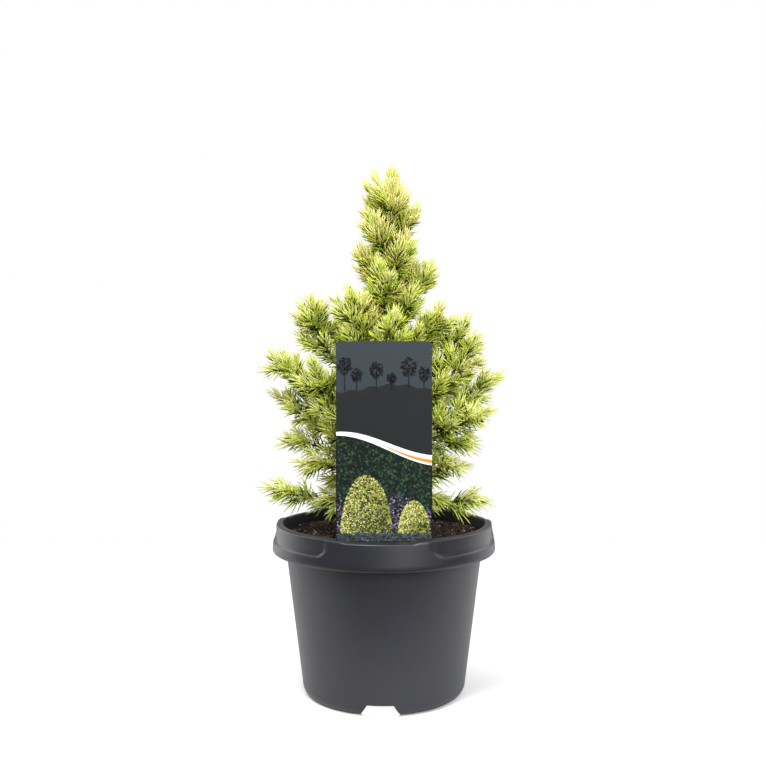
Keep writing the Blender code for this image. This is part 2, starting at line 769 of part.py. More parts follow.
def make_crown():
    """The boughs, then the masses of foliage, each within what the others leave free."""
    space = Space()
    limbs = [*LIMBS, *column_limbs()]
    curves = {limb.name: limb_curve(limb) for limb in limbs}
    trunk_owner = -1
    for k in range(20):
        low = SOIL_Z + (TRUNK_TOP - SOIL_Z) * k / 20
        high = SOIL_Z + (TRUNK_TOP - SOIL_Z) * (k + 1) / 20
        space.add(trunk_owner, 0, trunk_axis(low), trunk_axis(high), trunk_radius(low))

    stems = {}
    for number, limb in enumerate(limbs):
        curve = curves[limb.name]
        begin = start_share(limb, curve)
        end = max(begin, limb.bare)
        if limb.bare:
            shares = [begin + (end - begin) * k / LIMB_STEPS for k in range(LIMB_STEPS + 1)]
            path = [curve_point(curve, t) for t in shares]
            radii = [limb_radius(t) for t in shares]
            bough = tube(f"bough_{limb.name}", path, radii, LIMB_SIDES, BARK)
            shade(bough, 50)
            for a, b, radius in zip(path, path[1:], radii):
                space.add(1000 + number, 0, a, b, radius)
        stem_from = end + (GAP / curve_length(curve) if limb.bare else 0)
        stems[limb.name] = stem_from
        for k in range(6):
            a = curve_point(curve, stem_from + (1 - stem_from) * k / 6)
            b = curve_point(curve, stem_from + (1 - stem_from) * (k + 1) / 6)
            space.add(number, -1, a, b, LIMB_END_RADIUS)

    leader_owner = len(limbs)
    top = trunk_axis(TRUNK_TOP)
    leader_curve = (top + Vector((0, 0, GAP)), top + Vector((0.001, 0, 0.018)),
                    Vector((top.x + LEADER_OUT - 0.005, 0, LEADER_TOP)))
    space.add(leader_owner, -1, leader_curve[0], leader_curve[2], LIMB_END_RADIUS)

    jobs = []
    for number, limb in enumerate(limbs):
        curve = curves[limb.name]
        arcs = mass_shoots(limb, curve, stems[limb.name])
        arcs = [arcs[0]] + [a for a in arcs[1:] if shoot_fits(a, number, space)]
        for part, arc in enumerate(arcs):
            space.add(number, part, curve_point(arc, 0.1), arc[2], CORE_RADIUS)
        begin = stems[limb.name]
        reach = stem_end(curve, begin) + 0.14 * TERMINAL / curve_length(curve)
        shares = [begin + (reach - begin) * k / 3 for k in range(4)]
        path = [curve_point(curve, t) for t in shares]
        radii = [limb_radius(t) * 1.05 for t in shares]
        jobs.append((f"foliage_{limb.name}", path, radii, arcs, number))
    leader_path = [curve_point(leader_curve, k / 10) for k in range(4)]
    leader_arcs = leader_shoots(leader_curve)
    for part, arc in enumerate(leader_arcs):
        space.add(leader_owner, part, curve_point(arc, 0.1), arc[2], CORE_RADIUS)
    leader_radii = [TRUNK_TIP_RADIUS, 0.0012, 0.0011, 0.001]
    jobs.append(("foliage_leader", leader_path, leader_radii, leader_arcs, leader_owner))
    for name, path, radii, arcs, owner in jobs:
        fuse_mass(name, path, radii, arcs, owner, space)


def main():
    clear_scene()
    make_pot()
    make_soil()
    label_solid("plant_label", look=CARD)
    make_trunk()
    make_crown()


main()
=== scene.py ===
"""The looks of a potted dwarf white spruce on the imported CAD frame, in metres, +Z up, -Y front."""

import random
from collections import namedtuple
from math import atan2, cos, degrees, exp, hypot, pi, radians, sin, sqrt, tan

import bmesh
import bpy
import numpy as np
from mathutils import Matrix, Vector


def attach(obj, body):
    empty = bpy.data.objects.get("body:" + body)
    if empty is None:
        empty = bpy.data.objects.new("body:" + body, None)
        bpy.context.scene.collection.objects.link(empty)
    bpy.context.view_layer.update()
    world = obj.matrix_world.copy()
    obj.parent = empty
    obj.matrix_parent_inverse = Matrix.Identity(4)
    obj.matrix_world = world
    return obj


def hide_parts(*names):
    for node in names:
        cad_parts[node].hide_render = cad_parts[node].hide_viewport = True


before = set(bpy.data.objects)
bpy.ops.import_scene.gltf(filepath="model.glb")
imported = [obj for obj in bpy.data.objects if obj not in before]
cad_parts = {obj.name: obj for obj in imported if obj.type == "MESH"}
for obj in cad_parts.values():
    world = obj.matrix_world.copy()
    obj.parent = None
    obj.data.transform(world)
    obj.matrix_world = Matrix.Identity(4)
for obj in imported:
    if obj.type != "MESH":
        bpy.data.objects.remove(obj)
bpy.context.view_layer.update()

# Sizes that are the same as in the part's source
GAP = 0.0003
POT_TOP = 0.1453
BODY_RADIUS = 0.0688
DRAFT = 0.1225
WALL = 0.0014
RIM_LIP_Z = 0.1219
RIM_WIDEST = 0.0952
RIM_TOP_RADIUS = 0.0930
RIM_CREST = 0.0868
POT_TURN = radians(-2.5)
POCKETS = 3
POCKET_HALF = radians(33)
POCKET_RADIUS = 0.0922
POCKET_Z = (0.1325, 0.1435)
DIP = 0.0012
DIP_HALF = radians(18)
FOOT_OUTER = 0.0625
FOOT_INNER = 0.0556
BOSS_RADIUS = 0.029
CHANNEL_Z = 0.010
CORNER_Z = 0.009
NOTCH_TOP_HALF = 0.0107
NOTCH_FOOT_HALF = 0.0165
NOTCH_HEIGHT = 0.0096
SOIL_Z = 0.136
LABEL_WIDTH = 0.0755
LABEL_TOP = 0.2995
LABEL_SHOULDER = 0.1405
LABEL_TAIL_HALF = 0.012
LABEL_TAIL_Z = 0.104
LABEL_THICK = 0.0008
LABEL_CORNER = 0.0035
LABEL_Y = -0.0752
LABEL_LEAN = radians(3.5)
TRUNK_TOP = 0.402
TRUNK_LEAN = 0.0055
TRUNK_RADIUS = 0.0044
TRUNK_FLARE = 0.0026
TRUNK_TIP_RADIUS = 0.0013
LIMB_RADIUS = 0.0015
LIMB_END_RADIUS = 0.0010
GOLDEN = radians(137.508)
TURN = 2 * pi

Limb = namedtuple("Limb", "name azimuth leaves reach tip rise bare spread")
LIMBS = [Limb(*row) for row in (
    ("low_left", -83, 0.144, 0.101, 0.1775, 20, 0.36, 40),
    ("low_right", 80, 0.144, 0.089, 0.1665, 26, 0.36, 36),
    ("low_front_right", 56, 0.152, 0.062, 0.173, 34, 0, 46),
    ("low_front_left", -60, 0.151, 0.063, 0.171, 32, 0, 46),
    ("low_back_left", -146, 0.147, 0.088, 0.176, 30, 0.36, 46),
    ("low_back_right", 146, 0.149, 0.086, 0.180, 30, 0.36, 46),
    ("left_second", -76, 0.167, 0.077, 0.200, 38, 0, 44),
    ("right_second", 70, 0.166, 0.074, 0.198, 36, 0, 42),
    ("left_third", -102, 0.181, 0.094, 0.212, 36, 0.38, 46),
    ("right_third", 101, 0.187, 0.083, 0.212, 36, 0.38, 40),
    ("back_second", 179, 0.172, 0.093, 0.220, 34, 0.38, 46),
    ("left_front_low", -60, 0.178, 0.060, 0.236, 38, 0, 46),
    ("left_middle", -96, 0.193, 0.097, 0.254, 33, 0, 52),
    ("left_fourth", -87, 0.211, 0.099, 0.287, 32, 0.40, 46),
    ("right_fourth", 93, 0.200, 0.099, 0.269, 34, 0.42, 46),
    ("right_front", 66, 0.191, 0.095, 0.243, 32, 0, 46),
    ("right_middle", 76, 0.212, 0.080, 0.303, 40, 0, 44),
    ("left_front", -66, 0.200, 0.069, 0.284, 36, 0, 46),
    ("back_right", 137, 0.202, 0.092, 0.262, 32, 0, 46),
    ("back_left", -140, 0.206, 0.092, 0.270, 32, 0, 46),
    ("back_third", 178, 0.212, 0.088, 0.284, 36, 0, 46),
    ("front_left", -34, 0.190, 0.062, 0.246, 38, 0, 46),
    ("front_right", 26, 0.208, 0.060, 0.262, 38, 0, 46),
    ("left_top", -84, 0.240, 0.067, 0.337, 34, 0.42, 44),
    ("right_top", 86, 0.234, 0.071, 0.318, 38, 0.40, 44),
    ("front_left_top", -50, 0.262, 0.043, 0.342, 46, 0, 38),
    ("right_front_top", 66, 0.264, 0.052, 0.328, 42, 0, 42),
    ("back_left_top", -132, 0.240, 0.060, 0.318, 40, 0, 44),
    ("back_right_top", 131, 0.246, 0.059, 0.312, 40, 0, 44),
    ("back_top", 179, 0.263, 0.056, 0.332, 42, 0, 42),
    ("front_top", 6, 0.250, 0.046, 0.322, 46, 0, 42),
    ("right_upper", 97, 0.308, 0.040, 0.364, 52, 0, 22),
)]
COLUMN_COUNT = 12
COLUMN_START = 0.290
COLUMN_STEP = 0.0094
COLUMN_REACH = (0.0270, 0.0228)
COLUMN_CLIMB = (0.048, 0.036)
COLUMN_RISE = 56
COLUMN_SPREAD = 29
COLUMN_TURN = -67
UPRIGHT = 0.60
DROOPING_BELOW = 0.182
LEADER_TOP = 0.450
LEADER_OUT = 0.0060
LEADER_SHOOTS = ((-90, 22, 0.042), (84, 26, 0.024), (116, 40, 0.024), (-150, 30, 0.032),
                 (150, 32, 0.030), (-72, 45, 0.032))

# Studio
ROOM_LIGHT = (0.20, 1.25)
FLOOR_GLOW = 0.01
FLOOR_FRONT = -0.17
FLOOR_REACH = 0.65
CAMERA_PLACE = (-0.0008, -0.850, 0.2974)
CAMERA_PITCH = radians(90 - 2.31)
CAMERA_SENSOR = 36
CAMERA_LENS = 995.4 / 768 * CAMERA_SENSOR
LIGHTS = (
    ("left_light", (-0.95, 0.60, 0.45), (0, 0, 0.2), (1.1, 1.3), 8),
    ("right_light", (0.95, 0.60, 0.45), (0, 0, 0.2), (1.1, 1.3), 5.8),
    ("top_light", (-0.34, -0.72, 1.30), (0, 0, 0.26), (0.30, 0.30), 13),
    ("front_light", (0.52, -1.20, 0.72), (0, 0, 0.24), (0.9, 0.6), 18),
)

# Sizes of the shoots, as in the part's source, and of their needles
TERMINAL = 0.034
WHORL_STEP = 0.022
STAGGER = 0.0045
HANGING_SIZE = 0.70
BETWEEN_STEP = 0.0105
TRUNK_TWIGS = 16
TWIG_SHOWN = 0.80
NEEDLE_LENGTH = 0.0128
NEEDLE_RADIUS = 0.00058
NEEDLES_PER_METRE = 1900
NEEDLE_RINGS = ((0, 0.80), (0.42, 1.0), (0.76, 0.80))
NEEDLE_TRIANGLES = 15
NEEDLE_CURVE = 0.22
NEEDLE_GLOSS = 0.22
OPENNESS = 0.50
DROOP = 1.0
INNER_SIZE = 0.64
STEM_NEEDLES_PER_METRE = 1100
PIECE_TRIANGLES = 190000

# How a needle's tone is picked: a value that grows from dark to pale, and the limits between tones
TONE_LIMITS = (0.15, 0.28, 0.46, 0.77, 1.02)
TONE_START = 0.64
TONE_AT_TIP = 0.22
TONE_WITH_AGE = 0.45
TONE_SPREAD = 0.15
# Painted shade: how much darker the short inner needles are made.
INNER_PAINTED_SHADE = 0.74
# Painted light: how much paler twigs on the outside and near the top of the crown are made.
OUTER_PAINTED_LIGHT = 0.18
UPPER_PAINTED_LIGHT = 0.14
FROSTED_SHARE = 0.10
GOLDEN_TOP_SHARE = 0.88
GOLDEN_RIM_SHARE = 0.12
NEEDLE_TONES = {
    "cream": (223, 222, 152),
    "pale_yellow": (211, 218, 112),
    "lime": (207, 217, 84),
    "yellow_green": (184, 208, 60),
    "green": (124, 164, 38),
    "deep_green": (36, 58, 12),
    "frost": (228, 233, 182),
    "pale_green": (190, 207, 112),
    "mid_green": (134, 158, 60),
    "blue_green": (72, 96, 44),
    "pale_gold": (218, 212, 130),
    "gold": (208, 204, 94),
    "gold_green": (190, 195, 72),
    "olive": (140, 158, 46),
}
TONE_FAMILIES = {
    "lime": ("deep_green", "green", "yellow_green", "lime", "pale_yellow", "cream"),
    "frost": ("deep_green", "blue_green", "mid_green", "pale_green", "frost", "frost"),
    "gold": ("deep_green", "olive", "gold_green", "gold", "pale_gold", "cream"),
}


def linear(*colour):
    """A linear colour from a display colour of 0 to 255."""
    parts = (c / 255 for c in colour)
    return tuple(c / 12.92 if c <= 0.04045 else ((c + 0.055) / 1.055) ** 2.4 for c in parts)


def clamp(value):
    return min(1.0, max(0.0, value))


def set_inputs(node, **values):
    """Sets a node's inputs. An underscore in a name stands for a space."""
    for key, value in values.items():
        node.inputs[key.replace("_", " ")].default_value = value
    return node


def add_node(tree, kind, **values):
    return set_inputs(tree.nodes.new("ShaderNode" + kind), **values)


def plain(name, colour, roughness, **inputs):
    """A finish of one colour."""
    made = bpy.data.materials.new(name)
    made.use_nodes = True
    set_inputs(made.node_tree.nodes["Principled BSDF"], Base_Color=(*colour, 1),
               Roughness=roughness, **inputs)
    return made


def noisy(name, dark, light, scale, roughness, bump=0.2, bump_scale=None, distance=0.0004,
          specular=0.5):
    """A procedural finish: two colours mixed by noise, with a bump of its own scale."""
    made = plain(name, light, roughness[1], Specular_IOR_Level=specular)
    tree = made.node_tree
    link = tree.links.new
    shader = tree.nodes["Principled BSDF"]
    place = add_node(tree, "TexCoord").outputs["Object"]
    noise = add_node(tree, "TexNoise", Scale=scale, Detail=6)
    link(place, noise.inputs["Vector"])
    ramp = add_node(tree, "ValToRGB")
    for stop, position, colour in zip(ramp.color_ramp.elements, (0.3, 0.7), (dark, light)):
        stop.position = position
        stop.color = (*colour, 1)
    link(noise.outputs["Fac"], ramp.inputs["Fac"])
    link(ramp.outputs["Color"], shader.inputs["Base Color"])
    rough = add_node(tree, "MapRange", To_Min=roughness[0], To_Max=roughness[1])
    link(noise.outputs["Fac"], rough.inputs["Value"])
    link(rough.outputs["Result"], shader.inputs["Roughness"])
    fine = add_node(tree, "TexNoise", Scale=bump_scale or scale * 4, Detail=6)
    link(place, fine.inputs["Vector"])
    relief = add_node(tree, "Bump", Strength=bump, Distance=distance)
    link(fine.outputs["Fac"], relief.inputs["Height"])
    link(relief.outputs["Normal"], shader.inputs["Normal"])
    return made


def mesh_object(name, points, faces, look=None, smooth=True):
    """An object from points and a list of polygons, or of whole arrays of polygons."""
    mesh = bpy.data.meshes.new(name)
    points = np.asarray(points, np.float32).reshape(-1, 3)
    if hasattr(faces[0], "ndim"):
        mesh.vertices.add(len(points))
        mesh.vertices.foreach_set("co", points.ravel())
        loops = np.concatenate([g.ravel() for g in faces]).astype(np.int32)
        sizes = np.concatenate([np.full(len(g), g.shape[1]) for g in faces]).astype(np.int32)
        starts = np.concatenate([[0], np.cumsum(sizes)[:-1]]).astype(np.int32)
        mesh.loops.add(len(loops))
        mesh.loops.foreach_set("vertex_index", loops)
        mesh.polygons.add(len(sizes))
        mesh.polygons.foreach_set("loop_start", starts)
        mesh.update(calc_edges=True)
        mesh.validate()
    else:
        mesh.from_pydata(points.tolist(), [], faces)
    obj = bpy.data.objects.new(name, mesh)
    bpy.context.scene.collection.objects.link(obj)
    if look:
        mesh.materials.append(look)
    if smooth:
        mesh.shade_smooth()
    return obj


def band(low, high, count):
    """The four-sided faces between two closed rings of points, from the first of each."""
    return [(low + k, low + (k + 1) % count, high + (k + 1) % count, high + k)
            for k in range(count)]


def face_outward(obj, cut_large=False):
    """Turns the faces outward. Those with over four corners are cut to triangles if wanted."""
    work = bmesh.new()
    work.from_mesh(obj.data)
    if cut_large:
        bmesh.ops.triangulate(work, faces=[f for f in work.faces if len(f.verts) > 4])
    bmesh.ops.recalc_face_normals(work, faces=work.faces)
    work.to_mesh(obj.data)
    work.free()


def sharpen(obj, angle):
    """Smooth shading, with sharp edges where the faces meet at more than an angle."""
    obj.data.shade_smooth()
    obj.data.set_sharp_from_angle(angle=radians(angle))


def keep(obj, slot, *nodes):
    """Places a piece on the one body and hides the nodes it stands for. The slot is not used."""
    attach(obj, "root")
    if nodes:
        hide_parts(*nodes)


# Trunk and limb curves, by the same rules as in the part's source
def on_circle(radius, azimuth, z):
    return Vector((radius * sin(azimuth), -radius * cos(azimuth), z))


def body_radius(z):
    return BODY_RADIUS + DRAFT * z


def inner_radius(z):
    return body_radius(z) - WALL


def trunk_axis(z):
    share = (z - SOIL_Z) / (TRUNK_TOP - SOIL_Z)
    return Vector((TRUNK_LEAN * max(share, 0) ** 1.3, 0.0012 * sin(5 * share), z))


def trunk_radius(z):
    share = (z - SOIL_Z) / (TRUNK_TOP - SOIL_Z)
    flare = TRUNK_FLARE * exp(-(z - SOIL_Z) / 0.006)
    return TRUNK_RADIUS + (TRUNK_TIP_RADIUS - TRUNK_RADIUS) * share + flare


def side_and_up(tangent):
    side = tangent.cross(Vector((0, 0, 1)))
    side = side.normalized() if side.length > 0.05 else Vector((1, 0, 0))
    return side, side.cross(tangent).normalized()


def round_stem(side, up, turn):
    """A direction square to a stem, at a turn round it."""
    return side * cos(turn) + up * sin(turn)


def leaning(tangent, across, angle):
    """A direction that leaves a stem at an angle."""
    return (tangent * cos(angle) + across * sin(angle)).normalized()


def column_limbs():
    """Short limbs in a spiral round the upper trunk, shorter towards the top."""
    limbs = []
    for k in range(COLUMN_COUNT):
        share = k / (COLUMN_COUNT - 1)
        leaves = COLUMN_START + COLUMN_STEP * k
        reach = COLUMN_REACH[0] + (COLUMN_REACH[1] - COLUMN_REACH[0]) * share ** 2
        climb = COLUMN_CLIMB[0] + (COLUMN_CLIMB[1] - COLUMN_CLIMB[0]) * share
        azimuth = COLUMN_TURN + degrees(GOLDEN) * k
        limbs.append(Limb(f"column_{k + 1}", azimuth, leaves, reach, leaves + climb,
                          COLUMN_RISE, 0, COLUMN_SPREAD))
    return limbs


def limb_curve(limb):
    azimuth = radians(limb.azimuth)
    start = trunk_axis(limb.leaves)
    end = on_circle(limb.reach, azimuth, limb.tip) + Vector((start.x, 0, 0))
    rise = radians(limb.rise)
    span = (end - start).length
    control = start + on_circle(cos(rise), azimuth, sin(rise)) * (0.55 * span)
    return start, control, end


def curve_point(curve, t):
    start, control, end = curve
    return start * (1 - t) ** 2 + control * (2 * t * (1 - t)) + end * t ** 2


def curve_tangent(curve, t):
    start, control, end = curve
    return ((control - start) * (1 - t) + (end - control) * t).normalized()


def curve_length(curve):
    points = [curve_point(curve, k / 16) for k in range(17)]
    return sum((b - a).length for a, b in zip(points, points[1:]))


def limb_radius(t):
    return LIMB_RADIUS + (LIMB_END_RADIUS - LIMB_RADIUS) * t


def shoot_lift(limb):
    """How far a limb's shoots turn up: not at all on the lowest limbs, and most on the column."""
    if limb.tip > COLUMN_START + 0.045:
        return UPRIGHT
    return min(0.36, max(0.0, (limb.tip - 0.160) * 4))


def shoot_curve(start, tangent, length, lift):
    control = start + tangent * (length / 2)
    turned = (tangent + Vector((0, 0, lift))).normalized()
    return start, control, control + turned * (length / 2)


def in_the_open(point, margin):
    radius = hypot(point[0], point[1])
    floor = POT_TOP if radius > inner_radius(SOIL_Z) - 0.004 else SOIL_Z
    if point[2] < floor + margin:
        return False
    beside_label = abs(point[0]) < LABEL_WIDTH / 2 + margin and point[2] < LABEL_TOP + margin
    back_of_label = LABEL_Y + (point[2] - POT_TOP) * tan(LABEL_LEAN) + LABEL_THICK / 2
    return not (beside_label and point[1] < back_of_label + 0.004)


def mass_shoots(limb, curve, from_share):
    """The shoots of one mass, from its tip inward: the end of the stem, then whorl after whorl."""
    rng = random.Random(limb.name)
    length = curve_length(curve)
    lift = shoot_lift(limb)
    drooping = limb.tip < DROOPING_BELOW
    shoots = [shoot_curve(curve_point(curve, max(from_share, 1 - TERMINAL / length)),
                          curve_tangent(curve, 0.9), TERMINAL, 0.4 * lift)]
    back = TERMINAL * 0.86
    turn = rng.uniform(0, TURN)
    while 1 - back / length > from_share + 0.14:
        t = 1 - back / length
        tangent = curve_tangent(curve, t)
        side, up = side_and_up(tangent)
        steep = abs(tangent.z) > 0.75
        for k in range(3):
            third = -70 if drooping else 88
            roll = turn + k * TURN / 3 if steep else radians((8, 172, third)[k])
            roll += rng.uniform(-0.3, 0.3)
            root = t - k * STAGGER / length
            if root < from_share + 0.12:
                continue
            spread = radians(limb.spread) * rng.uniform(0.85, 1.15)
            outward = leaning(tangent, round_stem(side, up, roll), spread)
            size = min(0.042, 0.020 + 0.20 * back) * rng.uniform(0.85, 1.1)
            size *= HANGING_SIZE if drooping and k == 2 else 1
            shoots.append(shoot_curve(curve_point(curve, root), outward, size, lift))
        turn += GOLDEN
        back += WHORL_STEP
    return shoots


def leader_shoots(stem):
    """The shoots round the tip of the trunk: the tallest one, and a ring of others under it."""
    shoots = [shoot_curve(curve_point(stem, 0.2), curve_tangent(stem, 0.5), 0.036, 0.1)]
    for k, (azimuth, tilt, length) in enumerate(LEADER_SHOOTS):
        tilt = radians(tilt)
        outward = on_circle(sin(tilt), radians(azimuth), cos(tilt))
        shoots.append(shoot_curve(curve_point(stem, 0.03 + 0.02 * k), outward, length, 0.2))
    return shoots


Twig = namedtuple("Twig", "curve length age")


def side_twigs(arc, size, lift, age, rng, shares, narrow=1.0):
    """Small shoots that leave a longer one."""
    found = []
    turn = rng.uniform(0, TURN)
    for share in shares:
        tangent = curve_tangent(arc, share)
        side, up = side_and_up(tangent)
        turn += pi * rng.uniform(0.8, 1.2)
        across = side * cos(turn) + up * sin(turn) * 0.7
        outward = leaning(tangent, across, radians(rng.uniform(34, 50) * narrow))
        length = size * (1 - share) * rng.uniform(0.62, 0.82)
        found.append(Twig(shoot_curve(curve_point(arc, share), outward, length, lift),
                          length, age))
    return found


def between_twigs(limb, curve, begin, rng):
    """Short shoots on the stem between its whorls, older and greener towards the trunk."""
    length = curve_length(curve)
    lift = shoot_lift(limb)
    drooping = limb.tip < DROOPING_BELOW
    found = []
    back = TERMINAL * 0.55
    turn = rng.uniform(0, TURN)
    while 1 - back / length > begin + 0.02:
        tangent = curve_tangent(curve, 1 - back / length)
        side, up = side_and_up(tangent)
        turn += GOLDEN
        high = -0.6 * abs(sin(turn)) if drooping else sin(turn)
        across = side * cos(turn) + up * high
        outward = leaning(tangent, across, radians(limb.spread) * rng.uniform(0.9, 1.3))
        size = min(0.024, 0.011 + 0.16 * back) * rng.uniform(0.8, 1.1)
        root = curve_point(curve, 1 - back / length)
        found.append(Twig(shoot_curve(root, outward, size, lift), size,
                          0.1 + 0.5 * max(0.0, back / length - 0.3)))
        back += BETWEEN_STEP
    return found


def limb_twigs(limb):
    """The limb's stem, where its mass starts, and all its twigs."""
    rng = random.Random("fine " + limb.name)
    curve = limb_curve(limb)
    length = curve_length(curve)
    begin = max(limb.bare, 0.05)
    lift = shoot_lift(limb)
    twigs = []
    for k, arc in enumerate(mass_shoots(limb, curve, begin)):
        size = curve_length(arc)
        whorl = (k + 2) // 3
        age = 0.0 if k == 0 else 0.12 * (whorl - 1)
        twigs.append(Twig(arc, size, age))
        if size > 0.028 or lift == UPRIGHT:
            shares = (0.16, 0.36) if lift == UPRIGHT else (0.26,)
            twigs += side_twigs(arc, size, lift, age + 0.1, rng, shares)
    twigs += between_twigs(limb, curve, begin, rng)
    return curve, begin, [twig for twig in twigs if in_the_open(twig.curve[2], 0.003)]


def trunk_twigs():
    """Short upright shoots on the trunk between the limbs of the column."""
    rng = random.Random("fine trunk")
    found = []
    for k in range(TRUNK_TWIGS):
        z = COLUMN_START + 0.012 + (TRUNK_TOP - COLUMN_START - 0.014) * k / (TRUNK_TWIGS - 1)
        azimuth = radians(20) + GOLDEN * k
        outward = on_circle(0.62, azimuth, 0.78).normalized()
        start = trunk_axis(z) + outward * 0.002
        size = rng.uniform(0.015, 0.021)
        found.append(Twig(shoot_curve(start, outward, size, 0.5), size, 0.25))
    return found


def leader_twigs():
    rng = random.Random("fine leader")
    top = trunk_axis(TRUNK_TOP)
    stem = (top + Vector((0, 0, GAP)), top + Vector((0.001, 0, 0.018)),
            Vector((top.x + LEADER_OUT - 0.005, 0, LEADER_TOP)))
    twigs = []
    for k, arc in enumerate(leader_shoots(stem)):
        size = curve_length(arc)
        twigs.append(Twig(arc, size, -0.1))
        if k == 0:
            twigs += side_twigs(arc, size, 0.2, -0.05, rng, (0.15, 0.28, 0.40), 0.45)
        else:
            twigs += side_twigs(arc, size, 0.3, -0.05, rng, (0.22,), 0.7)
    return stem, twigs + trunk_twigs()


class Needles:
    """Collects needles and turns them into one mesh for each tone, or more for a long list."""

    def __init__(self):
        self.rows = {tone: [] for tone in NEEDLE_TONES}

    def add(self, tone, base, along, length, bend, radius=NEEDLE_RADIUS):
        self.rows[tone].append((*base, *along, length, *bend, radius))

    def build(self):
        per_piece = PIECE_TRIANGLES // NEEDLE_TRIANGLES
        for tone, rows in self.rows.items():
            look = plain("needles_" + tone, linear(*NEEDLE_TONES[tone]), 0.48,
                         Specular_IOR_Level=NEEDLE_GLOSS)
            for part, start in enumerate(range(0, len(rows), per_piece)):
                data = np.array(rows[start:start + per_piece])
                yield self.mesh(f"needles_{tone}_{part + 1}", data, look)

    def mesh(self, name, data, look):
        """Slim bent needles: three rings of three points and a tip each."""
        base, along, length, bend = data[:, 0:3], data[:, 3:6], data[:, 6:7], data[:, 7:10]
        radius = data[:, 10:11]
        helper = np.where(np.abs(along[:, 2:3]) < 0.9, [[0, 0, 1.0]], [[1.0, 0, 0]])
        side = np.cross(along, helper)
        side /= np.linalg.norm(side, axis=1, keepdims=True)
        up = np.cross(side, along)
        count = len(data)
        points = np.empty((count, 10, 3))
        for part, (share, width) in enumerate(NEEDLE_RINGS):
            middle = base + (along * share + bend * NEEDLE_CURVE * share ** 2) * length
            for k in range(3):
                ring = round_stem(side, up, TURN * k / 3)
                points[:, 3 * part + k] = middle + ring * radius * width
        points[:, 9] = base + (along + bend * NEEDLE_CURVE) * length
        first = np.arange(count)[:, None] * 10
        quads = np.array([[3 * part + k, 3 * part + (k + 1) % 3, 3 * part + 3 + (k + 1) % 3,
                           3 * part + 3 + k] for part in range(2) for k in range(3)])
        caps = np.array([[6 + k, 6 + (k + 1) % 3, 9] for k in range(3)])
        quads = (first[:, None] + quads[None]).reshape(-1, 4)
        caps = (first[:, None] + caps[None]).reshape(-1, 3)
        return mesh_object(name, points, [quads, caps], look)


def pick_tone(value, family="lime"):
    """A needle's tone from dark to light. Frosted ones are bluer, golden ones warmer."""
    return TONE_FAMILIES[family][sum(value > limit for limit in TONE_LIMITS)]


def lowness(z):
    """1 on the lowest tiers, 0 from the middle of the crown up."""
    return clamp((0.30 - z) / 0.10)


def clothe(needles, twig, rng, light, family):
    """Needles round a shoot, in a spiral, that lean forward and close up to a point at its tip."""
    long = min(1.0, 0.60 + twig.length / 0.050)
    low = lowness(twig.curve[2].z)
    fresh = clamp((twig.curve[2].z - 0.35) / 0.06)
    density = NEEDLES_PER_METRE * (1.1 - 0.4 * twig.age) * (1 - OPENNESS * low)
    count = max(12, int(twig.length * density))
    turn = rng.uniform(0, TURN)
    for k in range(count):
        u = ((k + rng.random()) / count) ** (1 - 0.25 * low)
        t = 0.04 + 0.78 * u
        tangent = curve_tangent(twig.curve, t)
        side, up = side_and_up(tangent)
        turn += GOLDEN
        across = round_stem(side, up, turn + rng.uniform(-0.2, 0.2))
        inner = k % 5 < 2
        lean = (68 if inner else 54) - 18 * fresh - (34 - 12 * fresh) * u ** 1.7
        along = leaning(tangent, across, radians(lean + rng.uniform(-5, 5)))
        along = (along + Vector((0, 0, 0.08))).normalized()
        size = NEEDLE_LENGTH * long * (0.84 + 0.20 * sin(pi * (0.15 + 0.75 * u)))
        size *= rng.uniform(0.92, 1.05) * (INNER_SIZE if inner else 1)
        base = curve_point(twig.curve, t)
        bend = tangent - along * 0.3 - Vector((0, 0, DROOP * low))
        if in_the_open(base + (along + bend * NEEDLE_CURVE) * size, 0.001):
            # Painted light: needles that face up and out of the crown get a paler tone.
            outward = across.x * base.x + across.y * base.y
            painted_facing_light = (0.24 + 0.14 * low) * across.z
            painted_facing_light += 0.10 * outward / (hypot(base.x, base.y) + 0.005)
            value = TONE_START + TONE_AT_TIP * u - TONE_WITH_AGE * twig.age + light + painted_facing_light
            value += rng.gauss(0, TONE_SPREAD - 0.05 * fresh)
            # Painted shade: needles at the base of low shoots, and the short inner ones, get a
            # darker tone.
            value += 0.07 + 0.09 * low - 0.45 * low * max(0.0, 1 - u / 0.4)
            value -= INNER_PAINTED_SHADE - 0.16 * fresh if inner else 0
            radius = NEEDLE_RADIUS * (1 + 0.06 * low)
            needles.add(pick_tone(value, family), base, along, size, bend, radius)


def clothe_stem(needles, curve, begin, end, rng):
    """Older needles along the stem between its shoots."""
    length = curve_length(curve) * (end - begin)
    count = int(length * STEM_NEEDLES_PER_METRE)
    turn = rng.uniform(0, 6)
    for k in range(count):
        u = (k + rng.random()) / count
        t = begin + (end - begin) * u
        tangent = curve_tangent(curve, t)
        side, up = side_and_up(tangent)
        turn += GOLDEN
        along = leaning(tangent, round_stem(side, up, turn), radians(rng.uniform(46, 70)))
        size = NEEDLE_LENGTH * rng.uniform(0.65, 0.95)
        base = curve_point(curve, t)
        if in_the_open(base + along * size, 0.001):
            needles.add(pick_tone(rng.uniform(-0.1, 0.42)), base, along, size, tangent)


def tube_points(path, radii, sides, relief=None):
    """The rings of a tube along a path."""
    rings = []
    for k, centre in enumerate(path):
        ahead = path[min(k + 1, len(path) - 1)] - path[max(k - 1, 0)]
        side, up = side_and_up(ahead.normalized())
        for step in range(sides):
            turn = TURN * step / sides
            radius = radii[k] * (relief(turn, k) if relief else 1)
            rings.append(centre + round_stem(side, up, turn) * radius)
    return rings


def tube_faces(count, sides, first=0):
    """The side faces of a tube and the two caps, with its points starting at a number."""
    faces = []
    for k in range(count - 1):
        faces += band(first + k * sides, first + (k + 1) * sides, sides)
    faces.append(tuple(first + s for s in range(sides - 1, -1, -1)))
    last = first + (count - 1) * sides
    faces.append(tuple(last + s for s in range(sides)))
    return faces


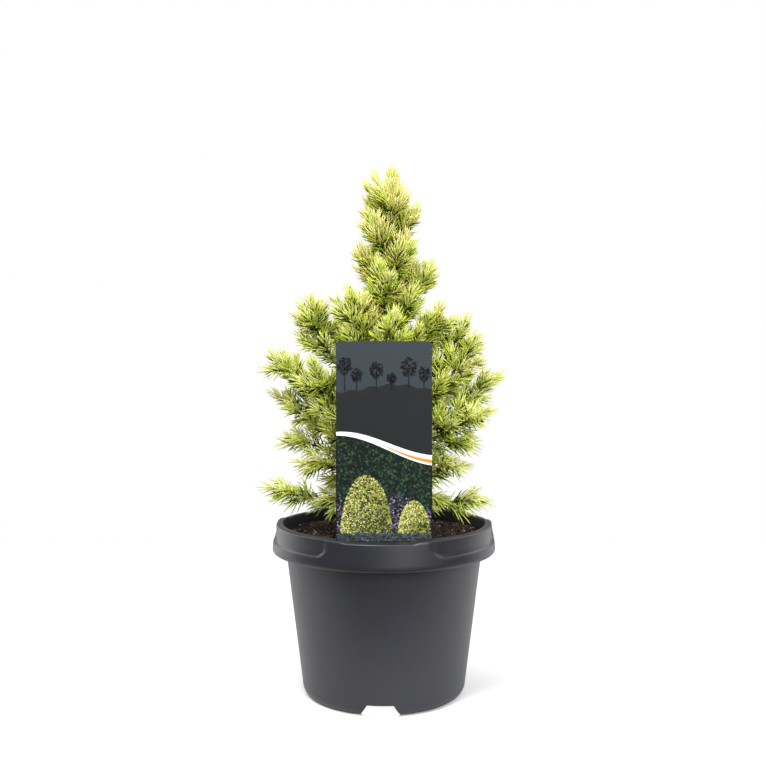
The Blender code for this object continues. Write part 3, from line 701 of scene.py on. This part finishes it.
def bark_relief(seed, strength):
    """Shallow ridges and knots round a limb."""
    rng = random.Random(seed)
    waves = [(rng.randint(2, 5), rng.uniform(0.2, 1.3), rng.uniform(0, 6)) for _ in range(5)]

    def relief(turn, k):
        return 1 + strength * sum(sin(n * turn + f * k + p) for n, f, p in waves) / 3

    return relief


def bark_piece(name, points, rings, sides, look, node):
    piece = mesh_object("bark_" + name, points, tube_faces(rings, sides), look)
    face_outward(piece)
    sharpen(piece, 60)
    keep(piece, "bark", node)


def make_trunk(look):
    foot = SOIL_Z - 0.0015
    heights = [foot + (TRUNK_TOP - foot) * (k / 110) ** 1.15 for k in range(111)]
    relief = bark_relief("trunk", 0.09)
    points = []
    sides = 18
    for k, z in enumerate(heights):
        for step in range(sides):
            turn = TURN * step / sides
            height = max(z - SOIL_Z, 0)
            lobe = 1 + 0.16 * cos(4 * turn) * exp(-height / 0.006)
            radius = trunk_radius(max(z, SOIL_Z)) * lobe * relief(turn, k)
            points.append(trunk_axis(z) + on_circle(radius, turn, 0))
    bark_piece("trunk", points, len(heights), sides, look, "trunk")


def make_bough(limb, look):
    curve = limb_curve(limb)
    steps = 22
    end = limb.bare + 0.02
    path = [curve_point(curve, end * k / steps) for k in range(steps + 1)]
    radii = [limb_radius(end * k / steps) * 1.04 for k in range(steps + 1)]
    points = tube_points(path, radii, 10, bark_relief(limb.name, 0.10))
    bark_piece(limb.name, points, steps + 1, 10, look, "bough_" + limb.name)


def make_foliage(bark):
    """Every mass: its twigs, and its needles joined by tone."""
    needles = Needles()
    twig_points = []
    twig_faces = []
    jobs = []
    for limb in LIMBS + column_limbs():
        curve, begin, twigs = limb_twigs(limb)
        jobs.append((limb.name, curve, begin, 1 - 0.3 * TERMINAL / curve_length(curve), twigs))
    stem, twigs = leader_twigs()
    jobs.append(("leader", stem, 0.0, 0.3, twigs))
    for name, curve, begin, end, twigs in jobs:
        rng = random.Random("needles " + name)
        path = [curve_point(curve, begin + (end - begin) * k / 9) for k in range(10)]
        radii = [limb_radius(begin + (end - begin) * k / 9) * 0.95 for k in range(10)]
        first = len(twig_points)
        twig_points += tube_points(path, radii, 6)
        twig_faces += tube_faces(10, 6, first)
        if name != "leader":
            clothe_stem(needles, curve, begin, end - 0.15, rng)
        for twig in twigs:
            end_point = twig.curve[2]
            # Painted light: twigs on the outside and near the top of the crown get a paler tone.
            out = (hypot(end_point.x - 0.003, end_point.y) - 0.040) / 0.060
            high = (end_point.z - 0.33) / 0.11
            light = max(OUTER_PAINTED_LIGHT * min(1.0, max(-1.0, out)), UPPER_PAINTED_LIGHT * min(1.0, high))
            frost = FROSTED_SHARE * lowness(end_point.z)
            gold = GOLDEN_TOP_SHARE * clamp((end_point.z - 0.31) / 0.09)
            gold += GOLDEN_RIM_SHARE * clamp(out) * clamp((end_point.z - 0.21) / 0.06)
            chance = rng.random()
            family = "frost" if chance < frost else "gold" if chance < frost + gold else "lime"
            clothe(needles, twig, rng, light, family)
            path = [curve_point(twig.curve, TWIG_SHOWN * k / 3) for k in range(4)]
            thick = 0.0005 + 0.0010 * twig.length / 0.04
            first = len(twig_points)
            twig_points += tube_points(path, [thick * (0.75 - 0.17 * k) for k in range(4)], 5)
            twig_faces += tube_faces(4, 5, first)
    keep(mesh_object("twigs", twig_points, twig_faces, bark), "bark")
    nodes = ["foliage_" + job[0] for job in jobs]
    for piece in needles.build():
        keep(piece, "needles", *nodes)


# Pot
def angle_between(azimuth, centre):
    return abs((azimuth - centre + pi) % TURN - pi)


def smooth_step(value, low, high):
    share = clamp((value - low) / (high - low))
    return share * share * (3 - 2 * share)


def rim_skirt_radius(z):
    share = (z - RIM_LIP_Z - 0.003) / (POT_TOP - 0.0015 - RIM_LIP_Z - 0.003)
    return RIM_WIDEST + (RIM_TOP_RADIUS - RIM_WIDEST) * share


def rim_relief(azimuth, radius, z):
    """The rim's three pockets, with soft edges and round lower corners, and its dips between."""
    spacing = TURN / POCKETS
    place = min(angle_between(azimuth, POT_TURN + k * spacing) for k in range(POCKETS))
    half = radians(2.2)
    edge = spacing / 2 - POCKET_HALF
    if radius > RIM_CREST + 0.001 and z > 0.1290:
        corner = max(0.0, edge + radians(6) - place) / radians(6)
        lowest = POCKET_Z[0] - 0.0025 + 0.005 * corner ** 2
        inside = smooth_step(place, edge - half, edge + half)
        inside *= smooth_step(z, lowest, lowest + 0.0022)
        radius -= inside * max(0.0, rim_skirt_radius(z) - POCKET_RADIUS + 0.0003)
    if z > POCKET_Z[1]:
        z -= DIP * (1 - smooth_step(place, DIP_HALF - half, DIP_HALF + half))
    return radius, z


def foot_arc(angles, inset=0.0):
    """The round edge from the foot up to the wall."""
    return [(FOOT_OUTER + (body_radius(CORNER_Z) - FOOT_OUTER) * sin(a) - inset,
             CORNER_Z * (1 - cos(a))) for a in map(radians, angles)]


def pot_profile():
    """The pot's cut from the middle of its underside, round the outside and back down inside."""
    wall = [(body_radius(z), z) for z in np.linspace(0.02, RIM_LIP_Z, 12)]
    rim_inside = RIM_WIDEST - WALL
    skirt = [(rim_skirt_radius(z), z) for z in np.linspace(0.1262, 0.1425, 24)]
    top = [
        (RIM_TOP_RADIUS - 0.0012 + 0.0012 * cos(a), 0.1434 + 0.0012 * sin(a))
        for a in (radians(d) for d in (15, 35, 55, 75))
    ]
    crest = [(0.0900, 0.1449), (0.0885, 0.1451), (0.0874, POT_TOP + 0.0001),
             (RIM_CREST - 0.0002, POT_TOP), (RIM_CREST - 0.0009, 0.1447), (0.0854, 0.1432)]
    return [
        (0, 0), (BOSS_RADIUS, 0), (BOSS_RADIUS + 0.002, CHANNEL_Z),
        (FOOT_INNER - 0.001, CHANNEL_Z), (FOOT_INNER, 0),
        *foot_arc(range(0, 96, 6)), *wall, (body_radius(0.1405), 0.1405),
        (rim_skirt_radius(0.1405) - 2 * WALL, 0.1405), (rim_inside, 0.1285),
        (rim_inside, RIM_LIP_Z + 0.0003), (rim_inside + 0.0004, RIM_LIP_Z),
        (RIM_WIDEST - 0.0006, RIM_LIP_Z + 0.0001), (RIM_WIDEST - 0.0001, RIM_LIP_Z + 0.0009),
        (RIM_WIDEST, 0.1244), *skirt, *top, *crest,
        (inner_radius(0.140), 0.140), (inner_radius(0.128), 0.128), (inner_radius(0.020), 0.020),
        (inner_radius(0.012) - 0.0026, CHANNEL_Z + WALL),
        (BOSS_RADIUS + 0.0005, CHANNEL_Z + WALL), (BOSS_RADIUS - 0.0015, WALL), (0, WALL),
    ]


def lathe(name, profile, segments, look=None, relief=None):
    """A closed body turned from a profile that starts and ends on the axis."""
    points = [Vector((0, 0, profile[0][1])), Vector((0, 0, profile[-1][1]))]
    rings = profile[1:-1]
    for radius, z in rings:
        for step in range(segments):
            azimuth = TURN * step / segments
            moved = relief(azimuth, radius, z) if relief else (radius, z)
            points.append(on_circle(moved[0], azimuth, moved[1]))
    faces = []
    for step in range(segments):
        beside = (step + 1) % segments
        faces.append((0, 2 + step, 2 + beside))
        last = 2 + (len(rings) - 1) * segments
        faces.append((1, last + beside, last + step))
        for ring in range(len(rings) - 1):
            low = 2 + ring * segments
            high = low + segments
            faces.append((low + step, high + step, high + beside, low + beside))
    obj = mesh_object(name, points, faces, look)
    face_outward(obj)
    return obj


def notch_block(azimuth, foot_half, top_half, low, high, near, far=0.09):
    """A radial block, wider at its foot, between two heights and two distances from the axis."""
    section = [(-foot_half, low), (foot_half, low), (top_half, high), (-top_half, high)]
    outward = on_circle(1, azimuth, 0)
    sideways = Vector((-outward.y, outward.x, 0))
    points = [
        outward * distance + sideways * across + Vector((0, 0, z))
        for distance in (near, far) for across, z in section
    ]
    faces = [(3, 2, 1, 0), (4, 5, 6, 7)]
    faces += [(k, (k + 1) % 4, (k + 1) % 4 + 4, k + 4) for k in range(4)]
    block = mesh_object("notch", points, faces, smooth=False)
    face_outward(block)
    return block


def boolean(obj, other, operation):
    modifier = obj.modifiers.new("Boolean", "BOOLEAN")
    modifier.operation = operation
    modifier.object = other
    modifier.solver = "EXACT"
    graph = bpy.context.evaluated_depsgraph_get()
    graph.update()
    result = bpy.data.meshes.new_from_object(obj.evaluated_get(graph))
    obj.modifiers.remove(modifier)
    obj.data = result
    bpy.data.objects.remove(other)


def plastic(name, dark, light, roughness, specular=0.5):
    return noisy(name, dark, light, 14, roughness, bump=0.05, bump_scale=900, distance=0.0002,
                 specular=specular)


def make_pot():
    """The pot in one plastic: its outside, a darker, duller copy for its inside as painted shade,
    and a darker, glossier copy for its rim as painted shade.
    """
    looks = (
        plastic("moulded_plastic", (0.0122, 0.0126, 0.0176), (0.0164, 0.0170, 0.0234),
                (0.42, 0.52)),
        # Painted shade: a darker, duller copy of the same plastic for the pot's inside.
        plastic("plastic_inside", (0.0030, 0.0031, 0.0036), (0.0045, 0.0047, 0.0054),
                (0.60, 0.70), 0.15),
        # Painted shade, with real gloss: a darker, glossier copy of the plastic for the rim and the
        # underside of its lip.
        plastic("plastic_rim", (0.0076, 0.0079, 0.0118), (0.0102, 0.0106, 0.0156),
                (0.34, 0.42), 0.55),
    )
    pot = lathe("nursery_pot", pot_profile(), 240, looks[0], rim_relief)
    corner = foot_arc((12, 30, 60, 90), 0.0002)
    filler = [(0, corner[0][1]), *corner, (body_radius(0.03) - 0.0002, 0.03), (0, 0.03)]
    for k in range(POCKETS):
        azimuth = POT_TURN + TURN * k / POCKETS
        lining = notch_block(azimuth, NOTCH_FOOT_HALF + WALL, NOTCH_TOP_HALF + WALL, 0.0003,
                             NOTCH_HEIGHT + WALL, FOOT_INNER + 0.0003)
        boolean(lining, lathe("filler", filler, 120), "INTERSECT")
        boolean(pot, lining, "UNION")
        notch = notch_block(azimuth, NOTCH_FOOT_HALF + 0.0006, NOTCH_TOP_HALF, -0.001,
                            NOTCH_HEIGHT, FOOT_INNER - 0.003)
        boolean(pot, notch, "DIFFERENCE")
    pot.data.materials.clear()
    for look in looks:
        pot.data.materials.append(look)
    for face in pot.data.polygons:
        centre = face.center
        radius = hypot(centre.x, centre.y)
        inward = centre.x * face.normal.x + centre.y * face.normal.y < 0
        # Faces inside the pot take the copy with painted shade.
        if inward and radius < RIM_CREST - 0.0004 and centre.z > 0.012:
            face.material_index = 1
        # The rim and the underside of its lip take the darker, glossier copy: painted shade with
        # real gloss.
        elif radius > RIM_CREST and centre.z > RIM_LIP_Z - 0.001:
            face.material_index = 2
    sharpen(pot, 30)
    keep(pot, "pot_plastic", "pot")


# Soil
def soil_height(x, y):
    radius = hypot(x, y)
    azimuth = atan2(x, -y)
    waves = sin(3 * azimuth + 40 * radius) + sin(5 * azimuth - 95 * radius)
    level = 1 if radius > 0.012 else radius / 0.012
    bumps = sin(310 * x + 3 * sin(190 * y)) * sin(270 * y + 2 * sin(230 * x))
    return SOIL_Z + level * 0.0007 * waves - 0.0012 * (radius / 0.08) ** 2 + 0.0005 * bumps


def make_soil():
    look = noisy("peat_mix", (0.003, 0.0022, 0.0018), (0.020, 0.0125, 0.0085), 260, (0.85, 1.0),
                 bump=0.9, bump_scale=900, distance=0.0012, specular=0.15)
    edge = inner_radius(SOIL_Z) - 0.0004
    rings = 70
    segments = 200
    points = [Vector((0, 0, soil_height(0, 0)))]
    for ring in range(1, rings + 1):
        for step in range(segments):
            place = on_circle(edge * ring / rings, TURN * step / segments, 0)
            points.append(Vector((place.x, place.y, soil_height(place.x, place.y))))
    faces = [(0, 1 + s, 1 + (s + 1) % segments) for s in range(segments)]
    for ring in range(rings - 1):
        faces += band(1 + ring * segments, 1 + (ring + 1) * segments, segments)
    rng = random.Random("soil relief")
    points = [p + Vector((0, 0, rng.uniform(-0.00035, 0.00035))) for p in points]
    skirt = len(points)
    points += [on_circle(edge - 0.004, TURN * s / segments, SOIL_Z - 0.012)
               for s in range(segments)]
    faces += band(skirt - segments, skirt, segments)
    faces.append(tuple(skirt + s for s in range(segments)))
    soil = mesh_object("soil_surface", points, faces, look)
    face_outward(soil)
    keep(soil, "peat", "soil")
    make_crumbs(edge)


def make_crumbs(edge):
    """Loose crumbs and fibres of peat on the soil, in three tones."""
    tones = {
        "crumbs_dark": (linear(22, 17, 14), 2800),
        "crumbs_brown": (linear(66, 38, 24), 1100),
        "crumbs_pale": (linear(134, 108, 84), 300),
    }
    for name, (colour, count) in tones.items():
        rng = random.Random(name)
        points = []
        faces = []
        for _ in range(count):
            radius = edge * sqrt(rng.random()) * 0.99
            place = on_circle(radius, rng.uniform(0, TURN), 0)
            if hypot(place.x, place.y) < 0.008:
                continue
            size = rng.uniform(0.0005, 0.0016)
            long = size * rng.choice((1.0, 1.4, 3.2))
            spin = rng.uniform(0, pi)
            tilt = rng.uniform(-0.5, 0.5)
            z = soil_height(place.x, place.y) + size * 0.25
            first = len(points)
            reach = min(long, edge - radius + 0.0006)
            shape = [(reach, 0, 0), (-reach, 0, 0), (0, size, 0), (0, -size, 0),
                     (0, 0, size * 0.8), (0, 0, -size * 0.8)]
            for x, y, h in shape:
                x, y, h = (v * rng.uniform(0.7, 1.2) for v in (x, y, h))
                h += x * tilt
                points.append((place.x + x * cos(spin) - y * sin(spin),
                               place.y + x * sin(spin) + y * cos(spin), z + h))
            for a, b, c in ((0, 2, 4), (2, 1, 4), (1, 3, 4), (3, 0, 4),
                            (2, 0, 5), (1, 2, 5), (3, 1, 5), (0, 3, 5)):
                faces.append((first + a, first + b, first + c))
        keep(mesh_object(name, points, faces, plain(name, colour, 0.95), smooth=False), "peat")


# Label
def label_point(across, z, depth):
    rise = (z - POT_TOP) / cos(LABEL_LEAN)
    y = LABEL_Y + rise * sin(LABEL_LEAN) + depth * cos(LABEL_LEAN)
    return Vector((across, y, z - depth * sin(LABEL_LEAN)))


def card_slab(name, outline, low, high, look):
    """A flat slab in the card's leaning plane, between two depths. Depth grows to the back."""
    count = len(outline)
    points = [label_point(across, z, depth) for depth in (low, high) for across, z in outline]
    faces = [tuple(range(count)), tuple(range(2 * count - 1, count - 1, -1))]
    faces += [(k, k + count, (k + 1) % count + count, (k + 1) % count) for k in range(count)]
    slab = mesh_object(name, points, faces, look, smooth=False)
    face_outward(slab, cut_large=True)
    return slab


def card_corner(half):
    """The round corner at the card's top right, for half its width."""
    return [(half - LABEL_CORNER * (1 - cos(a)), LABEL_TOP - LABEL_CORNER * (1 - sin(a)))
            for a in map(radians, range(0, 100, 10))]


def card_outline():
    half = LABEL_WIDTH / 2
    right = [
        (0.003, LABEL_TAIL_Z), (LABEL_TAIL_HALF, LABEL_TAIL_Z + 0.012),
        (LABEL_TAIL_HALF, LABEL_SHOULDER - 0.0015), (half - 0.002, LABEL_SHOULDER),
        (half, LABEL_SHOULDER + 0.002), *card_corner(half),
    ]
    return right + [(-across, z) for across, z in reversed(right)]


def flat_shapes(name, shapes, look, depth):
    """Flat printed shapes of one colour, each an outline of places on the card."""
    points = []
    faces = []
    for outline in shapes:
        faces.append(tuple(range(len(points), len(points) + len(outline))))
        points += [label_point(across, z, depth) for across, z in outline]
    keep(mesh_object(name, points, faces, look, smooth=False), "label_card")


def sweep_edge(x, half):
    """The lower edge of the white sweep, which the dark field ends at."""
    return 0.2135 + 0.012 * cos((x + half) / (2 * half) * pi * 0.9)


def print_ink(name, colour):
    return plain(name, linear(*colour), 0.6, Specular_IOR_Level=0.10)


def make_label():
    charcoal = print_ink("print_charcoal", (33, 34, 36))
    front = -LABEL_THICK / 2
    card = card_slab("label_card", card_outline(), front, LABEL_THICK / 2, charcoal)
    keep(card, "label_card", "plant_label")
    half = LABEL_WIDTH / 2 - 0.00015
    sweep_low = [(x, sweep_edge(x, half)) for x in np.linspace(-half, half, 25)]
    sweep_high = [(x, z + 0.0028 + 0.0052 * (x + half) / (2 * half)) for x, z in sweep_low]
    corner = card_corner(half)
    sky = [*corner, *[(-x, z) for x, z in reversed(corner)], (-half, 0.255), (half, 0.255)]
    streak = [(x, z + 0.0016) for x, z in sweep_low[9:]]
    streak += [(x, z + 0.0016 + 0.0030 * (x + 0.010) / (half + 0.010))
               for x, z in reversed(sweep_low[9:])]
    base = LABEL_SHOULDER + 0.0022
    ground = [(-half, base), (half, base), *reversed(sweep_low)]
    layers = [
        ("label_sky", sky, print_ink("print_slate", (51, 58, 62)), 1),
        ("label_sweep", sweep_low + sweep_high[::-1],
         print_ink("print_white", (238, 240, 242)), 1),
        ("label_streak", streak, print_ink("print_orange", (226, 132, 50)), 2),
        ("label_field", ground, print_ink("print_field", (17, 25, 20)), 1),
    ]
    for name, outline, look, level in layers:
        slab = card_slab(name, outline, front - 0.00005 * level, front + 0.0001, look)
        keep(slab, "label_card")
    make_label_trees(front - 0.00008, half, charcoal)
    make_label_garden(front - 0.00008, half, base)


def make_label_trees(depth, half, look):
    """A dark bank with round-headed trees that stand against the sky."""
    rng = random.Random("label trees")
    bank = [(x, 0.2625 + 0.0030 * sin(70 * x + 1) + 0.0008 * sin(420 * x))
            for x in np.linspace(half, -half, 61)]
    shapes = [[(-half, 0.2545), (half, 0.2545), *bank]]
    trees = ((-0.0310, 0.2800, 0.0062), (-0.0215, 0.2725, 0.0048), (-0.0060, 0.2765, 0.0058),
             (0.0060, 0.2700, 0.0040), (0.0195, 0.2790, 0.0068), (0.0315, 0.2735, 0.0052))
    for x, z, radius in trees:
        shapes.append([(x - 0.0007, 0.2600), (x + 0.0007, 0.2600),
                       (x + 0.0004, z), (x - 0.0004, z)])
        for _ in range(int(radius * 30000)):
            turn = rng.uniform(0, TURN)
            out = radius * rng.random() ** 0.5
            lobes = 1 + 0.10 * sin(5 * turn + 300 * x)
            size = rng.uniform(0.0005, 0.0010)
            across = x + 0.92 * out * lobes * cos(turn)
            across = min(max(across, size - half), half - size)
            shapes.append(leaf_outline(across, z + 1.1 * out * lobes * sin(turn), size,
                                       rng.uniform(0, pi), rng.uniform(0.5, 0.9)))
    flat_shapes("label_trees", shapes, look, depth)


def leaf_outline(x, z, size, turn, slim):
    """A small leaf: an oval with two pointed ends."""
    outline = []
    for k in range(6):
        a = pi * k / 3
        along, across = size * cos(a), size * slim * sin(a)
        outline.append((x + along * cos(turn) - across * sin(turn),
                        z + along * sin(turn) + across * cos(turn)))
    return outline


def make_label_garden(depth, half, base):
    """The lower picture: low round shrubs and a drift of flowers in front of dark leaves."""
    domes = ((-0.0140, 0.0200, 0.047), (0.0235, 0.0125, 0.027))
    inks = {
        "leaves_dark": ((30, 46, 36), 620, 0.0008, 0.0018),
        "leaves_mid": ((52, 78, 48), 380, 0.0006, 0.0013),
        "leaves_blue": ((34, 64, 56), 200, 0.0006, 0.0013),
        "flowers_deep": ((92, 70, 110), 520, 0.0005, 0.0010),
        "flowers_pale": ((164, 138, 178), 240, 0.0004, 0.0008),
        "shrub_shade": ((74, 82, 36), 2300, 0.0007, 0.0013),
        "shrub_mid": ((146, 150, 70), 2300, 0.0005, 0.0010),
        "shrub_light": ((214, 212, 136), 1500, 0.0004, 0.0008),
        "bank_slate": ((78, 86, 90), 520, 0.0008, 0.0016),
    }
    for level, (name, (colour, count, small, large)) in enumerate(inks.items()):
        rng = random.Random(name)
        shapes = []
        for _ in range(count):
            size = rng.uniform(small, large)
            x = rng.uniform(-half + size, half - size)
            roof = sweep_edge(x, half) - size - 0.0003
            if name.startswith("leaves"):
                z = rng.uniform(0.150, roof)
            elif name.startswith("flowers"):
                z = 0.147 + 0.028 * rng.random() ** 1.4 + 0.006 * sin(160 * x)
            elif name == "bank_slate":
                z = base + size + 0.0050 * rng.random() ** 1.6
            else:
                middle, wide, tall = domes[rng.random() < 0.42]
                x = middle + wide * rng.uniform(-1, 1)
                height = tall * sqrt(max(0.0, 1 - ((x - middle) / wide) ** 2))
                share = rng.random()
                if height < tall * rng.random() ** 2:
                    continue
                z = 0.1475 + height * share
                bright = 0.5 * share - 0.35 * (x - middle) / wide + rng.gauss(0, 0.22)
                if not {"shrub_shade": bright < 0.75, "shrub_mid": bright > 0.0,
                        "shrub_light": bright > 0.32}[name]:
                    continue
            z = min(max(z, base + size), roof)
            x = min(max(x, -half + size), half - size)
            shapes.append(leaf_outline(x, z, size, rng.uniform(0, pi), rng.uniform(0.4, 0.8)))
        flat_shapes("label_" + name, shapes, print_ink("print_" + name, colour),
                    depth - 0.00002 * level)


def make_room():
    """White light from all round, brighter from above, and plain white behind the part."""
    world = bpy.data.worlds.new("studio")
    bpy.context.scene.world = world
    world.use_nodes = True
    tree = world.node_tree
    link = tree.links.new
    room = set_inputs(tree.nodes["Background"], Color=(1, 1, 1, 1))
    place = add_node(tree, "TexCoord")
    parts = add_node(tree, "SeparateXYZ")
    height = add_node(tree, "MapRange", From_Min=0.1, From_Max=0.8, To_Min=ROOM_LIGHT[0],
                      To_Max=ROOM_LIGHT[1])
    link(place.outputs["Generated"], parts.inputs["Vector"])
    link(parts.outputs["Z"], height.inputs["Value"])
    link(height.outputs["Result"], room.inputs["Strength"])
    backdrop = add_node(tree, "Background", Color=(1, 1, 1, 1))
    kind = add_node(tree, "LightPath")
    mix = add_node(tree, "MixShader")
    link(kind.outputs["Is Camera Ray"], mix.inputs["Fac"])
    link(room.outputs["Background"], mix.inputs[1])
    link(backdrop.outputs["Background"], mix.inputs[2])
    link(mix.outputs["Shader"], tree.nodes["World Output"].inputs["Surface"])


def make_stage():
    """A white floor, a glowing ring of floor under the pot, painted light that lifts the pot's shade
    where the floor shows through the foot's notches, and the lights.
    """
    paper = plain("floor_white", (0.75, 0.75, 0.75), 0.95, Emission_Color=(1, 1, 1, 1),
                  Emission_Strength=FLOOR_GLOW)
    corners = [(-FLOOR_REACH, FLOOR_FRONT, 0), (FLOOR_REACH, FLOOR_FRONT, 0),
               (FLOOR_REACH, FLOOR_REACH, 0), (-FLOOR_REACH, FLOOR_REACH, 0)]
    mesh_object("floor", corners, [(0, 1, 2, 3)], paper, smooth=False)
    # Painted light: a ring of floor under the pot that glows, so the floor seen through the foot's
    # notches shows no shade.
    under = plain("floor_bright", (0.92, 0.92, 0.92), 0.95, Emission_Color=(1, 1, 1, 1),
                  Emission_Strength=0.9)
    count = 144
    turns = [TURN * k / count for k in range(count)]
    notches = [POT_TURN + TURN * k / POCKETS for k in range(POCKETS)]
    ring = [on_circle(BOSS_RADIUS + 0.001, turn, 0.0002) for turn in turns]
    for turn in turns:
        open_here = min(angle_between(turn, notch) for notch in notches) < 0.24
        ring.append(on_circle(FOOT_OUTER + (0.003 if open_here else -0.0006), turn, 0.0002))
    mesh_object("floor_under_pot", ring, band(0, count, count), under, smooth=False)
    for name, place, aim, size, power in LIGHTS:
        data = bpy.data.lights.new(name, "AREA")
        data.shape = "RECTANGLE"
        data.size, data.size_y = size
        data.energy = power
        lamp = bpy.data.objects.new(name, data)
        bpy.context.scene.collection.objects.link(lamp)
        lamp.location = place
        lamp.rotation_euler = (Vector(aim) - lamp.location).to_track_quat("-Z", "Y").to_euler()


def make_camera():
    data = bpy.data.cameras.new("camera")
    camera = bpy.data.objects.new("camera", data)
    bpy.context.scene.collection.objects.link(camera)
    data.sensor_width = CAMERA_SENSOR
    data.lens = CAMERA_LENS
    data.clip_start = 0.01
    camera.location = CAMERA_PLACE
    camera.rotation_euler = (CAMERA_PITCH, 0, 0)
    bpy.context.scene.camera = camera


def main():
    bpy.context.scene.view_settings.view_transform = "Standard"
    bark = noisy("spruce_bark", linear(70, 48, 32), linear(150, 110, 74), 420, (0.75, 0.95),
                 bump=0.6, bump_scale=1400, distance=0.0004)
    twig_bark = noisy("twig_bark", linear(96, 88, 50), linear(162, 150, 92), 300, (0.7, 0.9))
    make_camera()
    make_room()
    make_stage()
    make_pot()
    make_soil()
    make_trunk(bark)
    for limb in LIMBS:
        if limb.bare:
            make_bough(limb, bark)
    make_foliage(twig_bark)
    make_label()


main()
